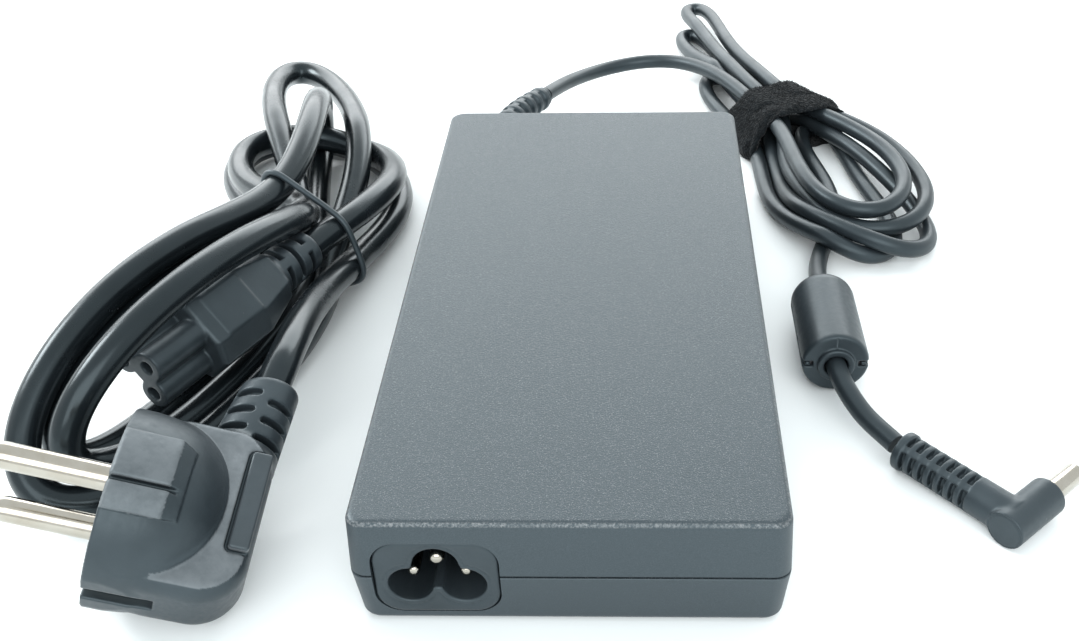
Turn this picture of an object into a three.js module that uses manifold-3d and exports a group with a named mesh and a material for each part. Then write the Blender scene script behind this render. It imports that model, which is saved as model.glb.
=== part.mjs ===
// Laptop power adapter with its mains lead. Millimetres; origin at the middle of the case's underside.
// +X is right, +Y points from the mains inlet to the low-voltage cord, +Z is up.
import * as THREE from "three";
import { mergeVertices } from "three/addons/utils/BufferGeometryUtils.js";
import Module from "manifold-3d";

const wasm = await Module();
wasm.setup();

// ---- Driving dimensions ----
const GAP = 0.3;
const CASE = { width: 76, length: 155.5, height: 24.5, seam: 11.9, flare: 0.55, draft: 1.0, wall: 2.2, corner: 3 };
const INLET = { x: -23.05, z: 11.4, width: 20.9, height: 16.4, corner: 4.7, front: -77.9, depth: 18, cavity: 15 };
const LOBE = { pitch: 4.7, lowZ: 9.6, lowR: 3.8, topZ: 14.4, topR: 3.9, notchZ: 8.95 };
const BOARD = { width: 67, front: -57, back: 71, z: 5.6, thick: 1.6 };
const DC = { cord: 4.4, exitX: -27, exitZ: 12 };
const STRAP = { x: 55.5, y: 107, angle: 25, halfWidth: 11.2, low: 1.6, high: 12, length: 20, thick: 1.4 };
const FERRITE = { x: 55, y: 1.5, z: 7.5, radius: 7.3, length: 30 };
const DC_PLUG = { x: 81.5, y: -57.5, z: 4, heading: -54, boot: 27, radius: 3.9, head: 14.5, barrel: 9.5 };
const MAINS = { cord: 7 };
const C5 = { x: -89.5, y: -29, z: 18.2, heading: -26.8, roll: 45, nose: 13.5, body: 26, boot: 14 };
const PLUG = { x: -82.6, y: -68.6, z: 20, yaw: 3.3, pitch: 20.5, roll: 15.3, radius: 17.8, pinPitch: 9.5, pinLength: 19 };
const TIE = { x: -70, y: 38, angle: -39, halfWidth: 16.5, low: 2.6, high: 24, wire: 2 };

const FINISH = {
  case_plastic: { color: 0x33373a, roughness: 0.62, metalness: 0 },
  black_plastic: { color: 0x22262a, roughness: 0.5, metalness: 0 },
  plated_metal: { color: 0xd9d0bd, roughness: 0.25, metalness: 1 },
  dc_cord_jacket: { color: 0x34383c, roughness: 0.55, metalness: 0 },
  mains_cord_jacket: { color: 0x1e2226, roughness: 0.3, metalness: 0 },
  strap_fabric: { color: 0x1d2023, roughness: 0.95, metalness: 0 },
  circuit_laminate: { color: 0x2c5a3a, roughness: 0.5, metalness: 0 },
  aluminium: { color: 0xb9bcc0, roughness: 0.4, metalness: 1 },
  ferrite_ceramic: { color: 0x3b3a3d, roughness: 0.7, metalness: 0 },
  copper_winding: { color: 0xa8643a, roughness: 0.35, metalness: 1 },
  component_plastic: { color: 0x6b6f52, roughness: 0.5, metalness: 0 },
  insulation_film: { color: 0xd8d4b8, roughness: 0.6, metalness: 0 },
};

// ---- Small helpers ----
const rad = THREE.MathUtils.degToRad;
const part = new THREE.Group();

function solid(geometry) {
  const plain = new THREE.BufferGeometry().setAttribute("position", geometry.getAttribute("position"));
  if (geometry.index) plain.setIndex(geometry.index);
  const merged = mergeVertices(plain, 1e-4);
  const mesh = new wasm.Mesh({
    numProp: 3,
    vertProperties: merged.getAttribute("position").array,
    triVerts: new Uint32Array(merged.index.array),
  });
  return new wasm.Manifold(mesh);
}

function geometryOf(body) {
  const mesh = body.getMesh();
  const geometry = new THREE.BufferGeometry();
  geometry.setAttribute("position", new THREE.BufferAttribute(new Float32Array(mesh.vertProperties), 3));
  geometry.setIndex(new THREE.BufferAttribute(new Uint32Array(mesh.triVerts), 1));
  geometry.computeVertexNormals();
  return geometry;
}

function add(name, finish, body, parent = part) {
  const geometry = body.isBufferGeometry ? body : geometryOf(body);
  const mesh = new THREE.Mesh(geometry, new THREE.MeshStandardMaterial(FINISH[finish]));
  mesh.name = name;
  parent.add(mesh);
}

const box = (x0, x1, y0, y1, z0, z1) =>
  solid(new THREE.BoxGeometry(x1 - x0, y1 - y0, z1 - z0).translate((x0 + x1) / 2, (y0 + y1) / 2, (z0 + z1) / 2));

// A cylinder that starts at a point and runs along X, Y or Z.
function rod(axis, radius, length, x, y, z, sides = 20, farRadius = radius) {
  const geometry = new THREE.CylinderGeometry(farRadius, radius, length, sides).translate(0, length / 2, 0);
  if (axis === "x") geometry.rotateZ(-Math.PI / 2);
  if (axis === "z") geometry.rotateX(Math.PI / 2);
  return solid(geometry.translate(x, y, z));
}

// A turned shape: profile of [radius, distance] pairs, its axis laid along +Y.
function turned(profile, sides = 24) {
  const geometry = new THREE.LatheGeometry(profile.map(([r, d]) => new THREE.Vector2(r, d)), sides);
  const body = solid(geometry);
  return body;
}

function roundedRect(width, height, radius) {
  const [w, h] = [width / 2, height / 2];
  const shape = new THREE.Shape();
  shape.moveTo(-w + radius, -h);
  shape.lineTo(w - radius, -h);
  shape.absarc(w - radius, -h + radius, radius, -Math.PI / 2, 0);
  shape.lineTo(w, h - radius);
  shape.absarc(w - radius, h - radius, radius, 0, Math.PI / 2);
  shape.lineTo(-w + radius, h);
  shape.absarc(-w + radius, h - radius, radius, Math.PI / 2, Math.PI);
  shape.lineTo(-w, -h + radius);
  shape.absarc(-w + radius, -h + radius, radius, Math.PI, 1.5 * Math.PI);
  return shape;
}

// The convex solid through rounded rectangles [width, length, corner, z].
function loft(levels, segments = 5) {
  const points = [];
  for (const [width, length, corner, z] of levels) {
    for (const p of roundedRect(width, length, corner).getPoints(segments)) points.push([p.x, p.y, z]);
  }
  return wasm.Manifold.hull(points);
}

// An outline in plan, given as [x, y] points that a closed smooth curve runs through, from low to high.
function slab(outline, low, high, divisions = 3) {
  const curve = new THREE.CatmullRomCurve3(outline.map(([x, y]) => new THREE.Vector3(x, y, 0)), true);
  const points = curve.getPoints(outline.length * divisions).slice(0, -1);
  const shape = new THREE.Shape(points.map((p) => new THREE.Vector2(p.x, p.y)));
  return solid(new THREE.ExtrudeGeometry(shape, { depth: high - low, bevelEnabled: false }).translate(0, 0, low));
}

function tube(points, diameter, steps, sides = 10) {
  const section = new THREE.Shape();
  section.absarc(0, 0, diameter / 2, 0, 2 * Math.PI);
  const curve = new THREE.CatmullRomCurve3(points.map((p) => new THREE.Vector3(...p)), false, "catmullrom", 0.5);
  const options = { steps, bevelEnabled: false, extrudePath: curve, curveSegments: sides / 2 };
  return solid(new THREE.ExtrudeGeometry(section, options));
}

// A band round a bundle: a rectangular frame in the plane across the bundle, centred on x = 0.
function band({ halfWidth, low, high, thick, length }) {
  const outer = roundedRect(2 * (halfWidth + thick), high - low + 2 * thick, 3);
  outer.holes.push(roundedRect(2 * halfWidth, high - low, 1.8));
  const geometry = new THREE.ExtrudeGeometry(outer, { depth: length, bevelEnabled: false, curveSegments: 3 });
  geometry.translate(0, 0, -length / 2).rotateX(Math.PI / 2).translate(0, 0, (low + high) / 2);
  return solid(geometry);
}

// What is cut off a hank so that a band of the same settings fits round it.
function bandGroove({ x, y, angle, halfWidth, low, high, length }) {
  const reach = length / 2 + GAP;
  const around = box(-40, 40, -reach, reach, -5, 60);
  const opening = roundedRect(2 * (halfWidth - GAP), high - low - 2 * GAP, 1.8);
  const core = new THREE.ExtrudeGeometry(opening, { depth: 2 * reach + 2, bevelEnabled: false, curveSegments: 3 });
  core.translate(0, 0, -reach - 1).rotateX(Math.PI / 2).translate(0, 0, (low + high) / 2);
  return around.subtract(solid(core)).rotate([0, 0, angle]).translate([x, y, 0]);
}

// ---- Case: two drafted half shells that meet at the seam ----
function caseSize(z) {
  const above = (z - CASE.seam) / (CASE.height - CASE.seam);
  const below = (CASE.seam - z) / CASE.seam;
  const side = z >= CASE.seam ? CASE.flare * (1 - above) : CASE.flare - CASE.draft * below;
  return [CASE.width + 2 * side, CASE.length + 2 * side];
}

function caseBlock(low, high, inset, edge) {
  const levels = [low, high].map((z) => {
    const [w, l] = caseSize(z);
    return [w - 2 * inset, l - 2 * inset, CASE.corner - inset / 2, z];
  });
  if (!edge) return loft(levels);
  const atTop = high > CASE.seam + 1;
  const end = atTop ? high : low;
  const inward = atTop ? -1 : 1;
  const rounded = [0, 0.3, 0.62, 1].map((share) => {
    const angle = share * Math.PI / 2;
    const z = end + inward * edge * (1 - Math.sin(angle));
    const [w, l] = caseSize(z);
    const shrink = 2 * edge * (1 - Math.cos(angle));
    return [w - shrink, l - shrink, CASE.corner, z];
  });
  return loft([levels[atTop ? 0 : 1], ...rounded]);
}

function inletHole(margin) {
  const shape = roundedRect(INLET.width + 2 * margin, INLET.height + 2 * margin, INLET.corner + margin);
  const geometry = new THREE.ExtrudeGeometry(shape, { depth: 30, bevelEnabled: false, curveSegments: 4 });
  return solid(geometry.rotateX(Math.PI / 2).translate(INLET.x, INLET.front + 22, INLET.z));
}

function buildCase() {
  const { seam, height, wall } = CASE;
  const exitHole = rod("y", 4.6, 12, DC.exitX, 70, DC.exitZ, 24);
  const upper = caseBlock(seam + GAP, height, 0, 1.3)
    .subtract(caseBlock(seam - 1, height - wall, wall, 0))
    .subtract(inletHole(GAP))
    .subtract(exitHole);
  add("upper_case", "case_plastic", upper);

  const lip = caseBlock(seam - 2, seam + 1.4, wall + GAP, 0);
  let lower = caseBlock(0, seam, 0, 2)
    .add(lip)
    .subtract(caseBlock(wall, seam + 3, wall + GAP + 1, 0))
    .subtract(inletHole(GAP))
    .subtract(exitHole);
  for (const x of [-30, 30]) {
    for (const y of [-40, 62]) lower = lower.add(rod("z", 2.4, BOARD.z - GAP - wall + 0.5, x, y, wall - 0.5, 12));
  }
  add("lower_case", "case_plastic", lower);
}

// ---- Mains inlet with its three recessed pins ----
function buildInlet() {
  const { x, z, width, height, corner, front, depth, cavity } = INLET;
  const shape = roundedRect(width, height, corner);
  const geometry = new THREE.ExtrudeGeometry(shape, { depth, bevelEnabled: false, curveSegments: 4 });
  let housing = solid(geometry.rotateX(Math.PI / 2).translate(x, front + depth, z));
  const open = front - 1;
  const lobes = [
    rod("y", LOBE.topR, cavity + 1, x, open, LOBE.topZ, 28),
    rod("y", LOBE.lowR, cavity + 1, x - LOBE.pitch, open, LOBE.lowZ, 28),
    rod("y", LOBE.lowR, cavity + 1, x + LOBE.pitch, open, LOBE.lowZ, 28),
    box(x - LOBE.pitch + 0.6, x + LOBE.pitch - 0.6, open, front + cavity, LOBE.notchZ, LOBE.topZ - 1.4),
  ];
  for (const lobe of lobes) housing = housing.subtract(lobe);
  const pins = [
    ["inlet_pin_earth", x, LOBE.topZ, 1.3, 1.3],
    ["inlet_pin_line", x - LOBE.pitch, LOBE.lowZ, 1.15, 2.9],
    ["inlet_pin_neutral", x + LOBE.pitch, LOBE.lowZ, 1.15, 2.9],
  ];
  for (const [name, px, pz, radius, recess] of pins) {
    housing = housing.subtract(rod("y", radius + GAP, 8, px, front + cavity - 1, pz, 16));
    const length = depth + 3 - recess;
    const tip = 0.7;
    const pin = turned([[0, 0], [radius - 0.5, 0], [radius, tip], [radius, length], [0, length]], 16);
    add(name, "plated_metal", pin.translate([px, front + recess, pz]));
  }
  add("inlet_housing", "black_plastic", housing);
}

// ---- Electronics inside ----
function coil(x, y, z, radius, hole, height) {
  return rod("z", radius, height, x, y, z, 24).subtract(rod("z", hole, height + 2, x, y, z - 1, 20));
}

function buildElectronics() {
  const { width, front, back, z, thick } = BOARD;
  const half = width / 2;
  const top = z + thick + GAP;
  add("circuit_board", "circuit_laminate", box(-half, half, front, back, z, z + thick));
  add("insulation_sheet", "insulation_film", box(-half + 4, half - 4, front + 22, 58, 4.5, 4.9));
  add("lower_heat_spreader", "aluminium", box(-half + 5, half - 5, front + 23, 57, 2.9, 4));
  add("upper_heat_spreader", "aluminium", box(-half + 1, half - 1, front + 1, back - 1, 20.6, 21.8));
  add("fuse", "insulation_film", rod("y", 2.6, 20, -4, -54, top + 2.6, 16));
  add("x_capacitor", "component_plastic", box(4, 22, -54, -46, top, top + 11));
  add("common_mode_choke", "copper_winding", coil(-20, -42, top, 9.5, 4, 10));
  add("bridge_rectifier", "black_plastic", box(4, 28, -40, -36, top, top + 11));
  add("primary_heatsink", "aluminium", box(28.6, 30.4, -34, 20, top, top + 12).add(box(24, 30.4, -34, 20, top + 10.4, top + 12)));
  add("primary_transistor", "black_plastic", box(23.4, 28.2, -10, 0, top, top + 9.6));
  add("pfc_inductor", "ferrite_ceramic", box(-31, -9, -28, -6, top, top + 12.4));
  add("bulk_capacitor_left", "black_plastic", rod("y", 6.1, 30, -24.5, 2, top + 6.1, 24));
  add("bulk_capacitor_right", "black_plastic", rod("y", 6.1, 30, -11.5, 2, top + 6.1, 24));
  const core = box(-2, 23, -26, 12, top, top + 12.6).subtract(box(2.6, 18.4, -20, 6, top - 1, top + 14));
  const core_leg = box(-2, 23, -9.6, -4.4, top, top + 12.6);
  add("transformer_core", "ferrite_ceramic", core.add(core_leg.intersect(box(1, 20, -30, 20, 0, 30))));
  add("transformer_winding", "copper_winding", box(2.9, 18.1, -19.7, -9.9, top + 0.4, top + 12));
  add("secondary_heatsink", "aluminium", box(-30, 22, 64, 65.8, top, top + 12));
  add("secondary_rectifier", "black_plastic", box(-6, 6, 59, 63.6, top, top + 11));
  add("output_capacitor_left", "black_plastic", rod("y", 5, 18, 2, 38, top + 5, 20));
  add("output_capacitor_right", "black_plastic", rod("y", 5, 18, 14, 38, top + 5, 20));
}

// ---- Low-voltage cord: strain relief, lead, hank, strap, ferrite, plug ----
const DC_LEAD = [
  [-15.5, 115.6, 11.4], [-10, 132, 8], [0, 150, 4.2], [13, 161, 2.6], [22, 159, 2.7], [25.5, 156.5, 3],
];
const DC_HANK = [
  [31, 205], [42, 184], [50, 154], [60, 130], [70, 108], [88, 86], [93, 66], [90, 50],
  [80, 41], [66, 37.5], [54, 43], [48, 60], [46, 80], [45, 96], [38, 122], [28.5, 150], [26, 182], [26, 196],
];
const DC_TAIL = [
  [57, 39, 2.5], [56, 32, 3.6], [55.2, 24, 6.6], [55, 16, 7.5], [55, 0, 7.5], [55, -14, 7.5],
  [56.5, -20, 6.4], [60, -27, 4.6], [64.6, -34.2, 4],
];

function strainRelief() {
  const bend = [[DC.exitX, 79.5, DC.exitZ], [-26, 90, 12.3], [-22.5, 102, 12.2], [-16, 114.4, 11.5]];
  const curve = new THREE.CatmullRomCurve3(bend.map((p) => new THREE.Vector3(...p)));
  let relief = rod("y", 4.3, 9, DC.exitX, 71.5, DC.exitZ, 20).add(rod("y", 5.8, 2.4, DC.exitX, 71.8, DC.exitZ, 20));
  relief = relief.add(tube(bend, 6.4, 8));
  const ribs = 9;
  for (let i = 0; i < ribs; i++) {
    const share = 0.08 + (0.9 * i) / (ribs - 1);
    const radius = 4.3 - 0.9 * share;
    const middle = curve.getPointAt(share);
    const rib = new THREE.CylinderGeometry(radius, radius, 1.7, 12);
    const turn = new THREE.Quaternion().setFromUnitVectors(new THREE.Vector3(0, 1, 0), curve.getTangentAt(share));
    relief = relief.add(solid(rib.applyQuaternion(turn).translate(middle.x, middle.y, middle.z)));
  }
  return relief;
}

function buildFerrite() {
  const group = new THREE.Group();
  group.position.set(FERRITE.x, FERRITE.y, FERRITE.z);
  part.add(group);
  const { radius, length } = FERRITE;
  const h = length / 2;
  const inner = radius - 1.3;
  const coreHalf = h - 3;
  const wall = [[3.8, -h], [5.6, -h], [radius, -h + 1.8], [radius, h - 2.4], [radius - 1.8, h - 0.6], [4.6, h], [2.9, h]];
  const bore = [[2.9, coreHalf + GAP], [inner, coreHalf + GAP], [inner, -coreHalf - GAP], [3.8, -coreHalf - GAP]];
  const cover = turned([...wall, ...bore, [3.8, -h]], 28);
  const halfSpace = (low, high) => box(-20, 20, -30, 30, low, high);
  const slots = box(-20, -radius + 2.2, -h - 1, -h + 2, -0.9, 0.9).add(box(radius - 2.2, 20, -h - 1, -h + 2, -0.9, 0.9));
  add("ferrite_cover_upper", "black_plastic", cover.intersect(halfSpace(0.15, 20)).subtract(slots), group);
  add("ferrite_cover_lower", "black_plastic", cover.intersect(halfSpace(-20, -0.15)).subtract(slots), group);
  const core = rod("y", inner - GAP, 2 * coreHalf, 0, -coreHalf, 0, 24).subtract(rod("y", 2.8, 60, 0, -30, 0, 16));
  add("ferrite_core", "ferrite_ceramic", core, group);
}

function buildDcPlug() {
  const group = new THREE.Group();
  group.position.set(DC_PLUG.x, DC_PLUG.y, DC_PLUG.z);
  group.rotation.z = rad(DC_PLUG.heading);
  part.add(group);
  const { boot, radius, head, barrel } = DC_PLUG;
  let sleeve = rod("x", 3.05, 18, -boot, 0, 0, 20);
  const ribs = 7;
  for (let i = 0; i < ribs; i++) sleeve = sleeve.add(rod("x", radius - 0.1, 1.5, -boot + i * 2.55, 0, 0, 20));
  sleeve = sleeve.add(box(-boot, -boot + 17, -radius + 0.9, radius - 0.9, -1.2, 1.2));
  sleeve = sleeve.add(rod("x", radius, boot - 17.2, -boot + 17.2, 0, 0, 24));
  sleeve = sleeve.add(rod("y", radius, head, 0, -4.2, 0, 28));
  const front = head - 4.2;
  sleeve = sleeve.subtract(rod("y", 2.25 + GAP, 8, 0, front - 6, 0, 20));
  add("dc_plug_overmould", "black_plastic", sleeve, group);
  const shell = [[2.25, -5.5], [2.25, barrel - 0.3], [1.95, barrel], [1.65, barrel], [1.65, -5.5]];
  add("dc_plug_barrel", "plated_metal", turned([...shell, shell[0]], 24).translate([0, front, 0]), group);
  const sleeveIn = [[1.35, -5.4], [1.35, barrel - 0.6], [0.95, barrel - 0.6], [0.95, -5.4]];
  add("dc_plug_insulator", "insulation_film", turned([...sleeveIn, sleeveIn[0]], 20).translate([0, front, 0]), group);
  add("dc_plug_centre_pin", "plated_metal", rod("y", 0.45, barrel + 3, 0, front - 5, 0, 12), group);
}

function buildDcCord() {
  add("dc_strain_relief", "black_plastic", strainRelief());
  add("dc_cord_lead", "dc_cord_jacket", tube(DC_LEAD, DC.cord, 14));
  const hank = slab(DC_HANK, 0.3, 14).subtract(bandGroove(STRAP));
  add("dc_cord_hank", "dc_cord_jacket", hank);
  const strap = band(STRAP).rotate([0, 0, STRAP.angle]).translate([STRAP.x, STRAP.y, 0]);
  add("cord_strap", "strap_fabric", strap);
  add("dc_cord_tail", "dc_cord_jacket", tube(DC_TAIL, DC.cord, 24));
  buildFerrite();
  buildDcPlug();
}

// ---- Mains lead: connector, hank, wire tie, angled plug ----
function buildC5() {
  const group = new THREE.Group();
  group.position.set(C5.x, C5.y, C5.z);
  group.rotation.set(0, rad(C5.roll), rad(C5.heading), "ZYX");
  part.add(group);
  const { nose, body, boot } = C5;
  const [low, top] = [-1.6, 3.1];
  let shell = rod("y", 3.5, nose + 1, 0, 0, top, 24)
    .add(rod("y", 3.4, nose + 1, -LOBE.pitch, 0, low, 24))
    .add(rod("y", 3.4, nose + 1, LOBE.pitch, 0, low, 24))
    .add(box(-LOBE.pitch + 0.8, LOBE.pitch - 0.8, 0, nose + 1, low - 0.6, top));
  const section = (width, height, corner, y) => [width, height, corner, y];
  const block = loft([
    section(19, 14, 4, nose), section(19.6, 14.6, 4, nose + 2), section(19.6, 14.6, 4, nose + 16),
    section(12.4, 12, 4.6, nose + body),
  ]).rotate([-90, 0, 0]);
  shell = shell.add(block);
  const bootStart = nose + body - 1;
  shell = shell.add(rod("y", 5.6, boot + 1, 0, bootStart, 0, 20, 5));
  for (const share of [0.25, 0.55, 0.85]) {
    const y = bootStart + boot * share;
    shell = shell.subtract(box(-8, 8, y, y + 1.5, 1.4, 8)).subtract(box(-8, 8, y, y + 1.5, -8, -1.4));
  }
  const contacts = [["earth", 0, top], ["line", -LOBE.pitch, low], ["neutral", LOBE.pitch, low]];
  for (const [name, x, z] of contacts) {
    shell = shell.subtract(rod("y", 1.5, 13, x, -1, z, 16));
    const sleeve = [[1.2, 2.5], [1.2, 11], [0.9, 11], [0.9, 2.5], [1.2, 2.5]];
    add("connector_contact_" + name, "plated_metal", turned(sleeve, 14).translate([x, 0, z]), group);
  }
  add("connector_overmould", "black_plastic", shell, group);
}

function buildPlug() {
  const group = new THREE.Group();
  group.position.set(PLUG.x, PLUG.y, PLUG.z);
  group.rotation.set(rad(PLUG.roll), rad(PLUG.pitch), rad(PLUG.yaw), "ZYX");
  part.add(group);
  const { radius, pinPitch, pinLength } = PLUG;
  const dome = [[0, 0], [radius, 0], [radius, 6], [radius - 0.7, 11], [radius - 3, 16], [10.5, 20.5], [5, 22.8], [0, 23.2]];
  let shell = turned(dome, 36).rotate([0, 0, -90]);
  const back = loft([[30, 34, 9, -6.4], [30, 34, 9, 6.4], [27, 31, 8, -7.8], [27, 31, 8, 7.8]]);
  shell = shell.add(back.translate([12, 0.5, 0]).intersect(box(5, 40, -30, 30, -20, 20)));
  shell = shell.add(box(24, 28.2, -7, 13, -6.8, 7.6));
  const boot = rod("y", 6.9, 19.5, 19.5, 14, 0, 24, 6);
  shell = shell.add(boot);
  for (let i = 0; i < 3; i++) {
    const y = 19.6 + 4.6 * i;
    shell = shell.subtract(box(10, 19, y, y + 1.8, 3.4, 9)).subtract(box(20.5, 29, y - 1.6, y + 0.2, 3.4, 9));
    shell = shell.subtract(box(10, 19, y, y + 1.8, -9, -3.4)).subtract(box(20.5, 29, y - 1.6, y + 0.2, -9, -3.4));
  }
  for (const z of [2.5, -9.5]) shell = shell.subtract(box(-1, 11, -3.4, 3.4, z + 11.6, z + 16));
  for (const [name, side] of [["near", -1], ["far", 1]]) {
    const edge = side * radius;
    const [y0, y1] = [edge - side * 2.4, edge + side * 3].sort((a, b) => a - b);
    shell = shell.subtract(box(-1, 13, y0, y1, -3.4, 3.4));
    const [c0, c1] = [edge - side * 2.1, edge - side * 1.1].sort((a, b) => a - b);
    add("earth_clip_" + name, "plated_metal", box(0.6, 12.6, c0, c1, -3, 3), group);
  }
  for (const [name, side] of [["line", 1], ["neutral", -1]]) {
    const z = side * pinPitch;
    shell = shell.subtract(rod("x", 2.4 + GAP, 9, -1, 0, z, 20));
    const profile = [[0, 0], [1.4, 0], [2.1, 0.6], [2.4, 1.6], [2.4, pinLength + 7.5], [0, pinLength + 7.5]];
    const pin = turned(profile, 20).rotate([0, 0, -90]).translate([-pinLength, 0, z]);
    add("plug_pin_" + name, "plated_metal", pin, group);
  }
  shell = shell.subtract(rod("x", 2.5, 14, -1, -9.8, 0, 16));
  add("mains_plug_overmould", "black_plastic", shell, group);
}

const MAINS_UPPER = [
  [-62, 22], [-52, 36], [-45.5, 54], [-48, 72], [-58, 90], [-68, 112], [-80, 134], [-92, 143],
  [-101, 138], [-106, 120], [-109, 98], [-104, 76], [-95, 58], [-87, 44], [-80, 32],
];
const MAINS_LEFT = [
  [-66, 32], [-76, 50], [-90, 42], [-97, 24], [-106, 4], [-116, -20], [-120, -38], [-114, -52],
  [-103, -57], [-95, -51], [-101.5, -36], [-101, -24], [-93, -10], [-86, 6], [-79, 22],
];
const MAINS_BASE = [
  [-66, 30], [-84, 30], [-94, 8], [-104, -14], [-114, -36], [-112, -50], [-102, -56], [-92, -47],
  [-82, -30], [-72, -12], [-62, 6], [-54, 22], [-56, 32],
];
const MAINS_ROOF = [[-64, 26], [-78, 40], [-92, 30], [-104, 6], [-112, -18], [-104, -34], [-92, -30], [-78, -18], [-68, 4]];
const MAINS_LEAD = [[-63.1, -34.6, 21.6], [-62.4, -27, 22.6], [-61.2, -15, 20.6], [-61, -3, 16], [-61.6, 8, 11.8], [-61.4, 16, 9.6]];

function buildMainsCord() {
  const hank = slab(MAINS_UPPER, 0.3, 27)
    .add(slab(MAINS_LEFT, 0.3, 35))
    .add(slab(MAINS_BASE, 0.3, 5.6))
    .add(slab(MAINS_ROOF, 31.5, 37))
    .subtract(bandGroove({ ...TIE, length: TIE.wire }));
  add("mains_cord_hank", "mains_cord_jacket", hank);
  const tie = band({ ...TIE, thick: TIE.wire, length: TIE.wire });
  add("wire_tie", "black_plastic", tie.rotate([0, 0, TIE.angle]).translate([TIE.x, TIE.y, 0]));
  add("mains_cord_plug_end", "mains_cord_jacket", tube(MAINS_LEAD, MAINS.cord, 12));
}

buildCase();
buildInlet();
buildElectronics();
buildDcCord();
buildC5();
buildPlug();
buildMainsCord();

export default part;
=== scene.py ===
"""Looks of the laptop power adapter and its mains lead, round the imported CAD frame. Lengths in mm, scaled by MM."""
import math

import bpy
import numpy as np
from mathutils import Euler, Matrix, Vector


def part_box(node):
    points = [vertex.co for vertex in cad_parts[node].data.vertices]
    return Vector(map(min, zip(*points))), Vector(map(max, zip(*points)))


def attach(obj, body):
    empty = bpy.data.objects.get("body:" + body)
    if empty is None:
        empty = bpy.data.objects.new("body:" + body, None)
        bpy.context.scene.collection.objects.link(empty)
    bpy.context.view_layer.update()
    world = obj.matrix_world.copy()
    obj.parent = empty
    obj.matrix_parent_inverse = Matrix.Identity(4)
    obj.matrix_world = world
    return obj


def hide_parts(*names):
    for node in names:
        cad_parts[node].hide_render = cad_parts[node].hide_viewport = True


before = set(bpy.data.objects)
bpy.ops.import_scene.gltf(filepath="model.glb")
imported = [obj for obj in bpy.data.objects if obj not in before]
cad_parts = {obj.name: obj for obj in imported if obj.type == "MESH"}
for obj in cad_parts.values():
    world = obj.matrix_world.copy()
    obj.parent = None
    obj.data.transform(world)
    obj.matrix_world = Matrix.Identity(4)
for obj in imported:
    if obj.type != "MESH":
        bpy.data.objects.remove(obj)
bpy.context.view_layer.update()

MM = 0.001
random = np.random.default_rng(11)

# ---- camera
CAMERA_PLACE, CAMERA_TURN = (0.0113, -0.2242, 0.1716), (54.34, 1.02, 1.30)
SENSOR, FOCAL_LENGTH, FRAMING_SHIFT = 36, 40.94, -0.0554
camera_data = bpy.data.cameras.new("camera")
camera = bpy.data.objects.new("camera", camera_data)
bpy.context.scene.collection.objects.link(camera)
camera.location = CAMERA_PLACE
camera.rotation_euler = Euler([math.radians(angle) for angle in CAMERA_TURN], "XYZ")
camera_data.sensor_width = SENSOR
camera_data.lens = FOCAL_LENGTH
camera_data.shift_x = FRAMING_SHIFT
camera_data.clip_start = 0.01
bpy.context.scene.camera = camera


# ---- places taken from the CAD frame
def centre(*nodes):
    """Middle of some CAD nodes' boxes, in mm."""
    middles = [(np.array(low) + np.array(high)) / 2 for low, high in map(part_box, nodes)]
    return np.mean(middles, axis=0) / MM


def box_mm(node):
    low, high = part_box(node)
    return np.array(low) / MM, np.array(high) / MM


def turn(x=0.0, y=0.0, z=0.0):
    """Rotation matrix, about X first and Z last, in degrees."""
    return np.array(Euler([math.radians(a) for a in (x, y, z)], "XYZ").to_matrix())


class Place:
    """A local frame: where its origin is and how it is turned."""

    def __init__(self, rotation, known, local):
        self.rotation = rotation
        self.origin = np.array(known) - rotation @ np.array(local, float)

    def out(self, points):
        return np.asarray(points, float) @ self.rotation.T + self.origin


PIN_PITCH = 4.7  # half the distance between the appliance coupler's outer pins
PIN_OFFSET = 9.5  # half the distance between the mains plug's pins
DC_BOOT_END = -27.0
CONNECTOR = Place(turn(0, 45, -26.8), centre("connector_contact_line", "connector_contact_neutral"), (0, 6.75, -1.6))
PLUG = Place(turn(15.3, 20.5, 3.3), centre("earth_clip_near", "earth_clip_far"), (6.6, 0, 0))
# the low-voltage plug is turned a little about its boot's end, where the cord goes in
DC_CAD = Place(turn(0, 0, -54), centre("dc_plug_barrel"), (0, 12.3, 0))
DC_PLUG = Place(turn(0, 0, -48), DC_CAD.out([(DC_BOOT_END, 0, 0)])[0], (DC_BOOT_END, 0, 0))
FERRITE = Place(turn(), centre("ferrite_cover_upper", "ferrite_cover_lower"), (0, 0, 0))
STRAP = Place(turn(0, 0, 25), centre("cord_strap") * (1, 1, 0) + (-1.0, 2.6, 0), (0, 0, 0))
TIE = Place(turn(0, 0, -28), centre("wire_tie") * (1, 1, 0) + (0.5, -6.5, 0), (0, 0, 0))

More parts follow.
